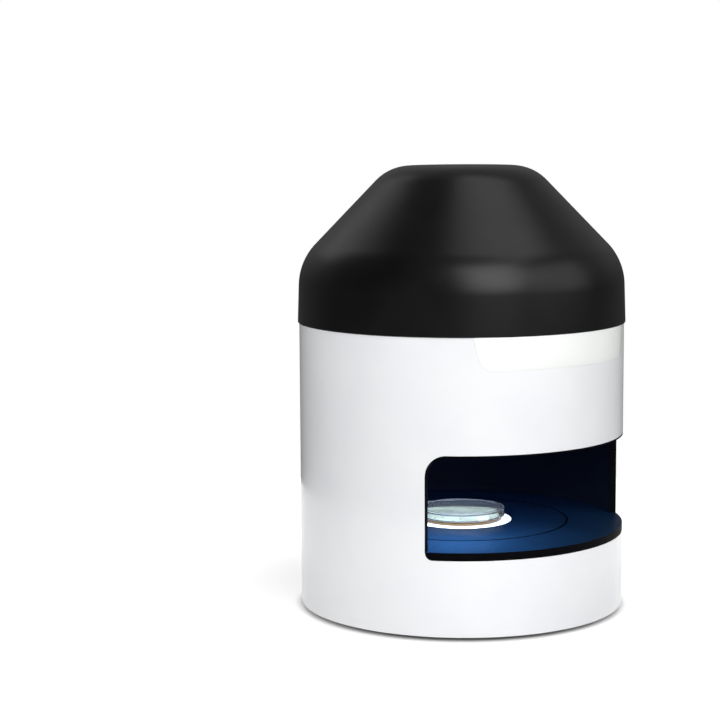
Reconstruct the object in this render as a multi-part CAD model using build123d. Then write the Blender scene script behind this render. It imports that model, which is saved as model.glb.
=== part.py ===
"""Automatic colony counter: a round bench instrument with a wrap-round opening.

A culture dish stands on a lit stage inside a dark chamber, and a camera under the
dome looks straight down on it. All sizes are in millimetres. The origin is on the
bench under the middle of the machine, +Z is up and the opening faces -Y.
"""

from build123d import *
from math import cos, degrees, radians, sin
import os

# ------------------------------------------------------------------ driving sizes
# Body shell and its opening
BODY_RADIUS = 170.0
SHELL_WALL = 3.5
BODY_LIFT = 4.0  # lower edge of the shell above the bench
BODY_TOP = 301.0
EDGE_ROUND = 1.2
SILL = 81.0
OPENING_HEIGHT = 104.0
OPENING_HALF_ANGLE = 57.0
UPPER_CORNER = 21.0
LOWER_CORNER = 7.5
TRIM_WALL = 1.5
LUG_DEPTH = 16.0
LUG_WIDTH = 18.0
LUG_HEIGHT = 12.0

# Badge tab under the dome
BADGE_WIDTH = 214.0
BADGE_HEIGHT = 33.0
BADGE_THICKNESS = 0.9
BADGE_TURN = -5.0  # degrees from the middle of the opening
BADGE_SLOPE = 14.0  # degrees that its ends lean in towards the bottom
BADGE_CORNER = 15.0

# Dome
DOME_PROUD = 1.5
DOME_HEIGHT = 162.0
DOME_WALL = 3.5
CONE_ANGLE = 44.0  # from the vertical
SHOULDER_HEIGHT = 63.5  # where cone and skirt would meet, above the rim
SKIRT_DRAFT = 1.9
SHOULDER_ROUND = 63.0
CROWN_ROUND = 50.0
FLANGE_WALL = 3.5
SPIGOT_WALL = 3.2
SPIGOT_DEPTH = 12.0
DOME_RIBS = 12
RIB_WALL = 2.5
RIB_RISE = 44.0

# Chamber
LINER_GAP = 0.5
LINER_WALL = 2.5
LINER_FLANGE = 14.0
LINER_FLANGE_WALL = 2.0
FLOOR_WALL = 8.0
FLOOR_GAP = 1.0
STAGE_RADIUS = 113.0
STAGE_STEP = 8.5
STAGE_GAP = 0.4
STAGE_WALL = 4.0
STAGE_RIM = 3.0
WINDOW_RADIUS = 53.5
WINDOW_LEDGE = 5.0
DIFFUSER_WALL = 3.0
CHAMBER_HEIGHT = 120.0  # sill to ceiling
CEILING_WALL = 3.0
APERTURE_RADIUS = 45.0

# Ring light under the ceiling
RING_INNER_RADIUS = 50.0
RING_OUTER_RADIUS = 90.0
RING_DEPTH = 8.0
RING_WALL = 2.0
RING_BOSS = 4.0
BOARD_WALL = 1.6
LED_SIZE = 3.0
LED_HEIGHT = 0.8
RING_LED_INSET = 12.0  # rows of LEDs, in from each edge of the ring
RING_LED_COUNT = 24

# Light baffle, camera and lens
BAFFLE_WALL = 1.5
BAFFLE_FOOT = 10.0
BAFFLE_HEIGHT = 94.0
BAFFLE_TOP_RADIUS = 27.0
POST_RADIUS = 5.0
POST_CIRCLE = 76.0
POST_HEIGHT = 148.0
POST_THREAD = 12.0  # depth of the tapped hole in a post
CAMERA_PLATE = 134.0
CAMERA_PLATE_WALL = 4.0
PLATE_CORNER = 12.0
CAMERA_WIDTH = 44.0
CAMERA_HEIGHT = 52.0
CAMERA_FINS = 6
CAMERA_THREAD = 8.0  # depth of the tapped holes in the camera
FIN_DEPTH = 1.6
NOSE_RADIUS = 15.0
NOSE_HEIGHT = 6.0
BARREL_BORE = 10.0
BARREL_RADIUS = 13.4
BARREL_COLLAR = 15.0
MOUNT_LENGTH = 5.0
IRIS_RING_RADIUS = 16.0
IRIS_RING_LENGTH = 7.0
COLLAR_LENGTH = 8.0
FOCUS_RING_RADIUS = 17.0
FOCUS_RING_LENGTH = 13.0
HOOD_RADIUS = 15.5
HOOD_LENGTH = 9.0
FOCUS_TUBE_LENGTH = 12.0
FOCUS_TUBE_WALL = 1.6
GLASS_THICKNESS = 4.0
KNURL_COUNT = 30
KNURL_DEPTH = 0.5
LOCK_HEAD_RADIUS = 2.2
LOCK_HEAD_HEIGHT = 3.0
LOCK_SHANK_RADIUS = 0.9

# Base, feet and lower bay
BASE_LIFT = 5.0
BASE_WALL = 3.0
BASE_GAP = 0.4
FOOT_RADIUS = 15.0
FOOT_INSET = 38.0  # axis of a foot, in from the body's wall
FOOT_COUNT = 4
PILLAR_RADIUS = 6.0
PILLAR_INSET = 8.5  # axis of a pillar, in from the liner's outside
PILLAR_STUD_RADIUS = 2.0
PILLAR_STUD = 4.0
PILLAR_COUNT = 6
VENT_COUNT = 9
VENT_LENGTH = 46.0
VENT_WIDTH = 4.0
VENT_PITCH = 9.0

# Backlight under the stage
BACKLIGHT_MARGIN = 2.5  # board beyond the window
BACKLIGHT_DROP = 30.0  # board top below the sill
REFLECTOR_WALL = 1.5
REFLECTOR_FLARE = 4.0
REFLECTOR_GAP = 0.5
STANDOFF_RADIUS = 3.0
SCREW_BITE = 6.0  # length of a small screw in its thread
LED_PITCH = 12.0
LED_RINGS = 3

# Control board
BOARD_LENGTH = 120.0
BOARD_DEPTH = 62.0
BOARD_BEHIND = 29.0  # room between board and rear panel
BOARD_RISE = 12.0
BOARD_INSET = 5.0
CHIP_SIZE = 14.0
CHIP_HEIGHT = 2.4
CAPACITOR_RADIUS = 5.0
CAPACITOR_HEIGHT = 16.0
CAPACITOR_COUNT = 4

# Rear connection panel
PANEL_WIDTH = 104.0
PANEL_HEIGHT = 40.0
PANEL_LOW = 24.0
PANEL_RIM = 4.0
PANEL_WALL = 3.0
PANEL_DEPTH = 15.0  # face of the recess, in from the back of the body
PANEL_FOOT = 12.0
PANEL_FOOT_WIDTH = 80.0
SWITCH_X = 32.0
INLET_X = 8.0
SOCKET_X = -12.0
LOUVRE_X = -36.0
LOUVRE_COUNT = 5
LOUVRE_PITCH = 4.6
LOUVRE_WIDTH = 2.2
LOUVRE_HEIGHT = 22.0
SWITCH_WIDTH = 15.0
SWITCH_HEIGHT = 21.0
SWITCH_BODY = 13.0
SWITCH_FLANGE = 1.8
SWITCH_LIP = 1.5
ROCKER_WIDTH = 11.0
ROCKER_HALF = 7.6
ROCKER_TILT = 10.0
ROCKER_PIVOT_RADIUS = 1.5
ROCKER_DEPTH = 2.0  # pivot behind the face of the recess
INLET_RADIUS = 5.6
INLET_BORE = 3.1
INLET_PIN = 1.0
INLET_LENGTH = 16.0
SOCKET_WIDTH = 12.0
SOCKET_HEIGHT = 11.0
SOCKET_LENGTH = 18.0
SOCKET_WALL = 1.2

# Screws
SCREW_RADIUS = 2.0
SCREW_HEAD = 3.8
SCREW_HEAD_HEIGHT = 2.2
LOW_HEAD_HEIGHT = 1.2  # low heads at the back stay under the dome's overhang
SMALL_SCREW_RADIUS = 1.5
SMALL_SCREW_HEAD = 2.8
SMALL_SCREW_HEAD_HEIGHT = 1.8

# Culture dish
LID_RADIUS = 46.3
DISH_RADIUS = 43.8
DISH_WALL = 1.2
DISH_HEIGHT = 10.6
LID_SKIRT = 8.0
VENT_NUB = 0.4
STACK_RING = 0.6
AGAR_DEPTH = 4.2
COLONY_RADIUS = 0.9

# Clearances
FIT = 0.3
SCREW_FIT = 0.05
RUNNING_FIT = 0.05
DISH_GAP = 0.2

# ---------------------------------------------------------------- worked-out places
SHELL_INNER = BODY_RADIUS - SHELL_WALL
OPENING_TOP = SILL + OPENING_HEIGHT
LINER_OUTER = SHELL_INNER - LINER_GAP
LINER_INNER = LINER_OUTER - LINER_WALL
FLOOR_RADIUS = LINER_INNER - FLOOR_GAP
FLOOR_TOP = SILL + FLOOR_WALL
STAGE_LEDGE = FLOOR_TOP - STAGE_WALL
CEILING = SILL + CHAMBER_HEIGHT
CEILING_TOP = CEILING + CEILING_WALL
BASE_TOP = BASE_LIFT + BASE_WALL
LINER_FOOT = SILL - LINER_FLANGE_WALL
FOOT_CIRCLE = BODY_RADIUS - FOOT_INSET
PILLAR_CIRCLE = LINER_OUTER - PILLAR_INSET
BACKLIGHT_RADIUS = WINDOW_RADIUS + BACKLIGHT_MARGIN
RING_LED_ROWS = (RING_INNER_RADIUS + RING_LED_INSET, RING_OUTER_RADIUS - RING_LED_INSET)
PILLAR_HEIGHT = LINER_FOOT - BASE_TOP
LUG_HOLE_RADIUS = SHELL_INNER - LUG_DEPTH / 2
LUG_ANGLES = (45, 135, 225, 315)
CEILING_LUG_ANGLES = (30, 90, 150, 210, 270, 330)
DOME_SCREW_ANGLES = (60, 90, 120)
DOME_SCREW_Z = BODY_TOP - SPIGOT_DEPTH / 2
CAMERA_PLATE_Z = CEILING_TOP + POST_HEIGHT
CAMERA_Z = CAMERA_PLATE_Z + CAMERA_PLATE_WALL
CAMERA_SCREW_PITCH = CAMERA_WIDTH - 10.0
LENS_TOP = CAMERA_Z - NOSE_HEIGHT
IRIS_TOP = LENS_TOP - MOUNT_LENGTH
IRIS_LOW = IRIS_TOP - IRIS_RING_LENGTH
COLLAR_LOW = IRIS_LOW - COLLAR_LENGTH
FOCUS_LOW = COLLAR_LOW - FOCUS_RING_LENGTH
HOOD_TOP = FOCUS_LOW - FIT
HOOD_LOW = HOOD_TOP - HOOD_LENGTH
BACKLIGHT_Z = SILL - BACKLIGHT_DROP
BOARD_Z = BASE_TOP + BOARD_RISE
PANEL_FACE = BODY_RADIUS - PANEL_DEPTH
PANEL_BACK = PANEL_FACE - PANEL_WALL
PANEL_Z = PANEL_LOW + PANEL_HEIGHT / 2
BOARD_Y = PANEL_BACK - BOARD_BEHIND - BOARD_DEPTH / 2
STAGE_TOP = FLOOR_TOP
DISH_LOW = STAGE_TOP + DISH_GAP
DISH_FLOOR = DISH_LOW + DISH_WALL
DISH_TOP = DISH_LOW + DISH_HEIGHT
LID_UNDER = DISH_TOP + VENT_NUB
LID_TOP = LID_UNDER + DISH_WALL


# ------------------------------------------------------------------------- helpers
def tube(outer, inner, low, high):
    """An upright ring on the machine's axis."""
    return disc(outer, low, high) - disc(inner, low, high)


def disc(radius, low, high):
    """An upright disc on the machine's axis."""
    return Pos(0, 0, low) * Cylinder(radius, high - low, align=(Align.CENTER, Align.CENTER, Align.MIN))


def block(width, depth, low, high):
    """An upright box centred on the machine's axis."""
    return Pos(0, 0, low) * Box(width, depth, high - low, align=(Align.CENTER, Align.CENTER, Align.MIN))


def turned(*points):
    """A solid turned about the machine's axis from a closed outline of radius and height."""
    outline = Plane.XZ * make_face(Polyline(*points, close=True))
    return revolve(outline, axis=Axis.Z)


def sector(inner, outer, low, high, half_angle):
    """A curved block of a ring, centred on the front of the machine."""
    middle = ((inner + outer) / 2, (low + high) / 2)
    profile = Plane.XZ * Pos(*middle) * Rectangle(outer - inner, high - low)
    return Rot(Z=-90 - half_angle) * revolve(profile, axis=Axis.Z, revolution_arc=2 * half_angle)


def turn_copies(shape, angles):
    """Copies of a shape, turned about the machine's axis to each angle from +X."""
    return [Rot(Z=angle) * shape for angle in angles]


def even(count, start=0.0):
    """Angles of evenly spaced places round the axis."""
    return [start + 360.0 * place / count for place in range(count)]


def fuse_all(shape, pieces):
    """One solid of a shape and everything that is moulded on it."""
    for piece in pieces:
        shape += piece
    return shape


def cut_all(shape, pieces):
    """A shape with every cutter taken out of it."""
    for piece in pieces:
        shape -= piece
    return shape


def corner_places(width, depth, low):
    """The four corners of a rectangle at one height."""
    return [Pos(x, y, low) for x in (-width / 2, width / 2) for y in (-depth / 2, depth / 2)]


def screw(radius, head, head_height, length):
    """A button-head screw: the head stands on Z = 0 and the shank points down."""
    top = Cylinder(head, head_height, align=(Align.CENTER, Align.CENTER, Align.MIN))
    top = fillet(top.edges().group_by(Axis.Z)[-1], head_height * 0.4)
    shank = Cylinder(radius, length, align=(Align.CENTER, Align.CENTER, Align.MAX))
    socket = extrude(RegularPolygon(head * 0.45, 6), head_height * 0.6)
    return top + shank - Pos(0, 0, head_height * 0.4) * socket


def big_screw(length):
    return screw(SCREW_RADIUS, SCREW_HEAD, SCREW_HEAD_HEIGHT, length)


def small_screw(length):
    return screw(SMALL_SCREW_RADIUS, SMALL_SCREW_HEAD, SMALL_SCREW_HEAD_HEIGHT, length)


def hole(radius, low, high):
    """A cutter for a round upright hole."""
    return disc(radius, low, high)


def facing_back(x, z, face=None):
    """A place on the rear panel: local Z points out of the back, local Y points up."""
    return Pos(x, PANEL_FACE if face is None else face, z) * Rot(Z=180) * Rot(X=90)


def save(name, *solids):
    """Writes one named piece, or a group of like pieces, as a STEP file."""
    shape = solids[0] if len(solids) == 1 else Compound(children=[s.solid() for s in solids])
    export_step(shape, f"parts/{name}.step")


# ------------------------------------------------------------------- body and dome
def opening_block(inner, outer, inset=0.0):
    """The room of the wrap-round opening, with its large upper and small lower corners."""
    half_angle = OPENING_HALF_ANGLE - degrees(inset / BODY_RADIUS)
    room = sector(inner, outer, SILL + inset, OPENING_TOP - inset, half_angle)
    middle = SILL + OPENING_HEIGHT / 2
    radial = room.edges().filter_by(GeomType.LINE).filter_by(lambda e: abs(e.tangent_at(0).Z) < 0.5)
    room = fillet(radial.filter_by(lambda e: e.center().Z > middle), UPPER_CORNER - inset)
    radial = room.edges().filter_by(GeomType.LINE).filter_by(lambda e: abs(e.tangent_at(0).Z) < 0.5)
    low = radial.filter_by(lambda e: e.center().Z < SILL + inset + 0.01)
    return fillet(low, LOWER_CORNER - inset)


def shell_lug(low):
    """A lug on the inside of the shell, centred on +X, with a tapped hole."""
    outer = SHELL_INNER + SHELL_WALL / 2
    lug = tube(outer, SHELL_INNER - LUG_DEPTH, low, low + LUG_HEIGHT)
    lug &= Pos(BODY_RADIUS / 2, 0, 0) * block(BODY_RADIUS, LUG_WIDTH, low, low + LUG_HEIGHT)
    tapped = SCREW_RADIUS + SCREW_FIT
    return lug - Pos(LUG_HOLE_RADIUS, 0, 0) * hole(tapped, low, low + LUG_HEIGHT)


def body_shell():
    shell = tube(BODY_RADIUS, SHELL_INNER, BODY_LIFT, BODY_TOP)
    rim = shell.edges().filter_by(GeomType.CIRCLE).filter_by(lambda e: e.radius > SHELL_INNER + 0.1)
    shell = fillet(rim.filter_by(lambda e: e.center().Z < BODY_LIFT + 0.1), EDGE_ROUND)
    shell = fuse_all(shell, turn_copies(shell_lug(BASE_TOP), LUG_ANGLES))
    shell = fuse_all(shell, turn_copies(shell_lug(CEILING_TOP), CEILING_LUG_ANGLES))
    shell -= opening_block(SHELL_INNER - 1, BODY_RADIUS + 1)
    back = Pos(0, BODY_RADIUS, 0) * block(PANEL_WIDTH, BODY_RADIUS / 2, PANEL_LOW, PANEL_LOW + PANEL_HEIGHT)
    shell -= back
    drill = Pos(BODY_RADIUS, 0, DOME_SCREW_Z) * Rot(Y=90) * Cylinder(SCREW_RADIUS + FIT, 4 * SHELL_WALL)
    return cut_all(shell, turn_copies(drill, DOME_SCREW_ANGLES))


def opening_trim():
    """The black edging that lines the cut edge of shell and liner."""
    return opening_block(LINER_INNER, BODY_RADIUS) - opening_block(LINER_INNER - 5, BODY_RADIUS + 5, TRIM_WALL)


def badge_tab():
    """A bare name tab below the dome: its ends lean in and its lower corners are round."""
    low, half_angle = BODY_TOP - BADGE_HEIGHT, degrees(BADGE_WIDTH / 2 / BODY_RADIUS)
    reach = 4 * BADGE_CORNER
    room = sector(BODY_RADIUS - reach, BODY_RADIUS + reach, low, BODY_TOP, half_angle)
    for side in (-1, 1):
        cutter = Pos(0, 0, BODY_TOP) * Rot(X=-side * BADGE_SLOPE) * Pos(BODY_RADIUS, side * reach * 2, 0)
        room -= Rot(Z=-90 + side * half_angle) * cutter * Box(reach * 4, reach * 4, reach * 4)
    lower = room.edges().filter_by(GeomType.LINE).group_by(Axis.Z)[0]
    room = fillet(lower, BADGE_CORNER)
    return Rot(Z=BADGE_TURN) * (room & tube(BODY_RADIUS + BADGE_THICKNESS, BODY_RADIUS, low, BODY_TOP))


def dome_outline(inset):
    """The dome's section, set in by a wall, as a face from the axis to the skirt."""
    rim = BODY_RADIUS + DOME_PROUD
    top = BODY_TOP + DOME_HEIGHT - inset
    draft, cone = radians(SKIRT_DRAFT), radians(CONE_ANGLE)
    skirt = cos(draft) * rim + sin(draft) * BODY_TOP
    meet = (rim - SHOULDER_HEIGHT * sin(draft) / cos(draft), BODY_TOP + SHOULDER_HEIGHT)
    slope = cos(cone) * meet[0] + sin(cone) * meet[1] - inset
    skirt -= inset
    crown_radius = (slope - sin(cone) * top) / cos(cone)
    turn = sin(cone - draft)
    shoulder_z = (cos(draft) * slope - cos(cone) * skirt) / turn
    shoulder_radius = (skirt - sin(draft) * shoulder_z) / cos(draft)
    rim_radius = (skirt - sin(draft) * BODY_TOP) / cos(draft)
    line = FilletPolyline(
        (0, top),
        (crown_radius, top),
        (shoulder_radius, shoulder_z),
        (rim_radius, BODY_TOP),
        radius=[CROWN_ROUND - inset, SHOULDER_ROUND - inset],
    )
    closing = Polyline(line @ 1, (0, BODY_TOP), (0, top))
    return Plane.XZ * make_face(line + closing)


def dome_cover():
    outer = revolve(dome_outline(0), axis=Axis.Z)
    inner = revolve(dome_outline(DOME_WALL), axis=Axis.Z)
    dome = outer - inner
    spigot_outer = SHELL_INNER - FIT
    spigot_inner = spigot_outer - SPIGOT_WALL
    rim_mid = BODY_RADIUS + DOME_PROUD - DOME_WALL / 2
    dome += tube(rim_mid, spigot_inner, BODY_TOP, BODY_TOP + FLANGE_WALL)
    dome += tube(spigot_outer, spigot_inner, BODY_TOP - SPIGOT_DEPTH, BODY_TOP + FLANGE_WALL / 2)
    room = Pos(BODY_RADIUS / 2 + spigot_inner, BODY_TOP + RIB_RISE / 2) * Rectangle(BODY_RADIUS, RIB_RISE)
    web = dome_outline(DOME_WALL / 2) & Plane.XZ * room
    fin = extrude(web, RIB_WALL / 2, dir=(0, 1, 0), both=True)
    dome = fuse_all(dome, turn_copies(fin, even(DOME_RIBS, 15)))
    pilot = Pos(spigot_outer, 0, DOME_SCREW_Z) * Rot(Y=90) * Cylinder(SCREW_RADIUS + SCREW_FIT, 4 * SPIGOT_WALL)
    return cut_all(dome, turn_copies(pilot, DOME_SCREW_ANGLES))


def dome_screws():
    length = SHELL_WALL + SPIGOT_WALL
    low_screw = screw(SCREW_RADIUS, SCREW_HEAD, LOW_HEAD_HEIGHT, length)
    one = Pos(BODY_RADIUS, 0, DOME_SCREW_Z) * Rot(Y=90) * low_screw
    return turn_copies(one, DOME_SCREW_ANGLES)


# ------------------------------------------------------------------------- chamber
def pillar_holes(radius, low, high):
    return turn_copies(Pos(PILLAR_CIRCLE, 0, 0) * hole(radius, low, high), even(PILLAR_COUNT))


def chamber_liner():
    wall = tube(LINER_OUTER, LINER_INNER, LINER_FOOT, CEILING)
    wall -= opening_block(LINER_INNER - 1, LINER_OUTER + 1)
    wall += tube(LINER_OUTER, LINER_OUTER - LINER_FLANGE, LINER_FOOT, SILL)
    return cut_all(wall, pillar_holes(PILLAR_STUD_RADIUS + FIT, LINER_FOOT, SILL))


def chamber_floor():
    """The fixed deck round the stage: a ledge holds the stage and a lip fills the sill."""
    bore = STAGE_RADIUS + STAGE_GAP
    ledge_bore = bore - STAGE_STEP
    deck = turned(
        (ledge_bore, SILL),
        (FLOOR_RADIUS, SILL),
        (FLOOR_RADIUS, FLOOR_TOP),
        (bore, FLOOR_TOP),
        (bore, STAGE_LEDGE),
        (ledge_bore, STAGE_LEDGE),
    )
    deck += opening_block(FLOOR_RADIUS - 1, BODY_RADIUS, TRIM_WALL) & disc(BODY_RADIUS, SILL, FLOOR_TOP)
    studs = PILLAR_STUD - LINER_FLANGE_WALL + FIT
    return cut_all(deck, pillar_holes(PILLAR_STUD_RADIUS + SCREW_FIT, SILL, SILL + studs))


def stage_plate():
    """A turned plate that lifts out: two rims stiffen it and the inner one holds the window."""
    step = STAGE_RADIUS - STAGE_STEP
    ledge = WINDOW_RADIUS - WINDOW_LEDGE
    low = STAGE_LEDGE - STAGE_RIM
    seat = STAGE_TOP - DIFFUSER_WALL
    return turned(
        (ledge, low),
        (WINDOW_RADIUS + STAGE_RIM, low),
        (WINDOW_RADIUS + STAGE_RIM, STAGE_LEDGE),
        (step - STAGE_RIM, STAGE_LEDGE),
        (step - STAGE_RIM, low),
        (step, low),
        (step, STAGE_LEDGE),
        (STAGE_RADIUS, STAGE_LEDGE),
        (STAGE_RADIUS, STAGE_TOP),
        (WINDOW_RADIUS, STAGE_TOP),
        (WINDOW_RADIUS, seat),
        (ledge, seat),
    )


def stage_diffuser():
    return disc(WINDOW_RADIUS - SCREW_FIT, STAGE_TOP - DIFFUSER_WALL, STAGE_TOP)


def ring_screw_places():
    middle = (RING_INNER_RADIUS + RING_OUTER_RADIUS) / 2
    return [Rot(Z=angle) * Pos(middle, 0, 0) for angle in even(4)]


def baffle_screw_places():
    middle = APERTURE_RADIUS + BAFFLE_FOOT / 2 + BAFFLE_WALL
    return [Rot(Z=angle) * Pos(middle, 0, 0) for angle in even(4)]


def post_places():
    return [Rot(Z=angle) * Pos(POST_CIRCLE, 0, 0) for angle in even(4, 45)]


def ceiling_plate():
    plate = disc(LINER_OUTER, CEILING, CEILING_TOP) - disc(APERTURE_RADIUS, CEILING, CEILING_TOP)
    lug_hole = Pos(LUG_HOLE_RADIUS, 0, 0) * hole(SCREW_RADIUS + FIT, CEILING, CEILING_TOP)
    plate = cut_all(plate, turn_copies(lug_hole, CEILING_LUG_ANGLES))
    tapped = hole(SMALL_SCREW_RADIUS + SCREW_FIT, CEILING, CEILING_TOP)
    plate = cut_all(plate, [place * tapped for place in ring_screw_places() + baffle_screw_places()])
    stud = hole(POST_RADIUS / 2 + SCREW_FIT, CEILING, CEILING_TOP)
    return cut_all(plate, [place * stud for place in post_places()])


def ceiling_screws():
    length = CEILING_WALL + LUG_HEIGHT * 0.6
    one = Pos(LUG_HOLE_RADIUS, 0, CEILING) * Rot(X=180) * big_screw(length)
    return turn_copies(one, CEILING_LUG_ANGLES)


# ---------------------------------------------------------------------- ring light
def ring_light_diffuser():
    """An opal trough, open at the top, that hangs from the ceiling plate."""
    low = CEILING - RING_DEPTH
    trough = tube(RING_OUTER_RADIUS, RING_INNER_RADIUS, low, CEILING)
    edges = trough.edges().filter_by(GeomType.CIRCLE).group_by(Axis.Z)[0]
    trough = fillet(edges, RING_WALL * 0.8)
    trough -= tube(RING_OUTER_RADIUS - RING_WALL, RING_INNER_RADIUS + RING_WALL, low + RING_WALL, CEILING)
    boss = disc(RING_BOSS, low + RING_WALL / 2, CEILING - BOARD_WALL)
    trough = fuse_all(trough, [place * boss for place in ring_screw_places()])
    drill = hole(SMALL_SCREW_RADIUS + FIT, low, CEILING)
    return cut_all(trough, [place * drill for place in ring_screw_places()])


def ring_light_board():
    low = CEILING - BOARD_WALL
    board = tube(RING_OUTER_RADIUS - RING_WALL - FIT, RING_INNER_RADIUS + RING_WALL + FIT, low, CEILING)
    drill = hole(SMALL_SCREW_RADIUS + FIT, low, CEILING)
    return cut_all(board, [place * drill for place in ring_screw_places()])


def ring_light_leds():
    low = CEILING - BOARD_WALL - LED_HEIGHT
    chip = block(LED_SIZE, LED_SIZE, low, low + LED_HEIGHT)
    rows = [Pos(radius, 0, 0) * chip for radius in RING_LED_ROWS]
    return [Rot(Z=angle) * led for angle in even(RING_LED_COUNT, 7.5) for led in rows]


def ring_light_screws():
    one = Pos(0, 0, CEILING - RING_DEPTH) * Rot(X=180) * small_screw(RING_DEPTH + CEILING_WALL)
    return [place * one for place in ring_screw_places()]


# ------------------------------------------------------------------ camera and lens
def light_baffle():
    """A black cone that keeps the ring light out of the lens."""
    low, top = CEILING_TOP, CEILING_TOP + BAFFLE_HEIGHT
    foot = APERTURE_RADIUS + BAFFLE_FOOT + BAFFLE_WALL
    cone = turned(
        (APERTURE_RADIUS, low),
        (foot, low),
        (foot, low + BAFFLE_WALL),
        (APERTURE_RADIUS + BAFFLE_WALL, low + BAFFLE_WALL),
        (BAFFLE_TOP_RADIUS + BAFFLE_WALL, top),
        (BAFFLE_TOP_RADIUS, top),
        (APERTURE_RADIUS, low + BAFFLE_WALL),
    )
    drill = hole(SMALL_SCREW_RADIUS + FIT, low, low + BAFFLE_WALL)
    return cut_all(cone, [place * drill for place in baffle_screw_places()])


def baffle_screws():
    one = Pos(0, 0, CEILING_TOP + BAFFLE_WALL) * small_screw(BAFFLE_WALL + CEILING_WALL)
    return [place * one for place in baffle_screw_places()]


def camera_posts():
    post = disc(POST_RADIUS, CEILING_TOP, CAMERA_PLATE_Z)
    post = chamfer(post.edges().filter_by(GeomType.CIRCLE), 0.6)
    post += disc(POST_RADIUS / 2, CEILING, CEILING_TOP + 1)
    tapped = hole(SCREW_RADIUS + SCREW_FIT, CAMERA_PLATE_Z - POST_THREAD, CAMERA_PLATE_Z)
    post -= tapped
    return [place * post for place in post_places()]


def camera_plate():
    plate = block(CAMERA_PLATE, CAMERA_PLATE, CAMERA_PLATE_Z, CAMERA_Z)
    plate = fillet(plate.edges().filter_by(Axis.Z), PLATE_CORNER)
    plate -= hole(NOSE_RADIUS + FIT, CAMERA_PLATE_Z, CAMERA_Z)
    clear = hole(SCREW_RADIUS + FIT, CAMERA_PLATE_Z, CAMERA_Z)
    plate = cut_all(plate, [place * clear for place in post_places()])
    clear = hole(SMALL_SCREW_RADIUS + FIT, 0, CAMERA_PLATE_WALL)
    pitch = CAMERA_SCREW_PITCH
    return cut_all(plate, [place * clear for place in corner_places(pitch, pitch, CAMERA_PLATE_Z)])


def camera_plate_screws():
    one = Pos(0, 0, CAMERA_Z) * big_screw(CAMERA_PLATE_WALL + POST_THREAD * 0.7)
    return [place * one for place in post_places()]


def camera_body():
    top = CAMERA_Z + CAMERA_HEIGHT
    body = block(CAMERA_WIDTH, CAMERA_WIDTH, CAMERA_Z, top)
    body = fillet(body.edges().filter_by(Axis.Z), 3)
    pitch = CAMERA_HEIGHT * 0.5 / CAMERA_FINS
    inside = CAMERA_WIDTH - 2 * FIN_DEPTH
    for groove in range(CAMERA_FINS):
        low = CAMERA_Z + CAMERA_HEIGHT * 0.4 + groove * pitch
        high = low + pitch / 2
        body -= block(CAMERA_WIDTH + 1, CAMERA_WIDTH + 1, low, high) - block(inside, inside, low, high)
    body += tube(NOSE_RADIUS, BARREL_BORE, LENS_TOP, CAMERA_Z)
    tapped = hole(SMALL_SCREW_RADIUS + SCREW_FIT, 0, CAMERA_THREAD)
    pitch = CAMERA_SCREW_PITCH
    return cut_all(body, [place * tapped for place in corner_places(pitch, pitch, CAMERA_Z)])


def camera_socket():
    """The camera's data socket, on its top face."""
    top = CAMERA_Z + CAMERA_HEIGHT
    shell = block(SOCKET_WIDTH, SOCKET_WIDTH / 2, top, top + 7)
    shell = fillet(shell.edges().filter_by(Axis.Z), 1)
    return shell - block(SOCKET_WIDTH - 2 * SOCKET_WALL, SOCKET_WIDTH / 2 - 2 * SOCKET_WALL, top + 2, top + 7)


def camera_screws():
    one = Pos(0, 0, 0) * Rot(X=180) * small_screw(CAMERA_PLATE_WALL + SCREW_BITE)
    pitch = CAMERA_SCREW_PITCH
    return [place * one for place in corner_places(pitch, pitch, CAMERA_PLATE_Z)]


def lens_barrel():
    """The fixed barrel: its neck fits under both rings and its collars keep them in place."""
    barrel = disc(BARREL_COLLAR, IRIS_TOP, LENS_TOP)
    barrel += disc(BARREL_RADIUS, FOCUS_LOW, LENS_TOP - 1)
    barrel += disc(BARREL_COLLAR, COLLAR_LOW, IRIS_LOW)
    return barrel - hole(BARREL_BORE, FOCUS_LOW, LENS_TOP)


def knurled_ring(radius, low, high):
    """A control ring with grip flutes and a tapped hole for its lock screw."""
    ring = tube(radius, BARREL_RADIUS + RUNNING_FIT, low + FIT, high - FIT)
    flute = Pos(radius + KNURL_DEPTH, 0, 0) * disc(2 * KNURL_DEPTH, low, high)
    ring = cut_all(ring, turn_copies(flute, even(KNURL_COUNT, 180.0 / KNURL_COUNT)))
    drill = Pos(radius, 0, (low + high) / 2) * Rot(Y=90) * Cylinder(LOCK_SHANK_RADIUS + SCREW_FIT, 2 * radius - 2)
    return ring - (drill - disc(BARREL_RADIUS - 1, low, high))


def lock_screw(radius, low, high):
    """A thumb screw that locks a ring to the barrel."""
    head = Cylinder(LOCK_HEAD_RADIUS, LOCK_HEAD_HEIGHT, align=(Align.CENTER, Align.CENTER, Align.MIN))
    head = chamfer(head.edges().group_by(Axis.Z)[-1], 0.4)
    shank = radius - BARREL_RADIUS - 2 * RUNNING_FIT
    head += Cylinder(LOCK_SHANK_RADIUS, shank, align=(Align.CENTER, Align.CENTER, Align.MAX))
    slot = Pos(0, 0, LOCK_HEAD_HEIGHT) * Box(2 * LOCK_HEAD_RADIUS, 0.7, 1.2)
    return Pos(radius, 0, (low + high) / 2) * Rot(Y=90) * (head - slot)


def iris_ring():
    return knurled_ring(IRIS_RING_RADIUS, IRIS_LOW, IRIS_TOP)


def focus_ring():
    return knurled_ring(FOCUS_RING_RADIUS, FOCUS_LOW, COLLAR_LOW)


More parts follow.
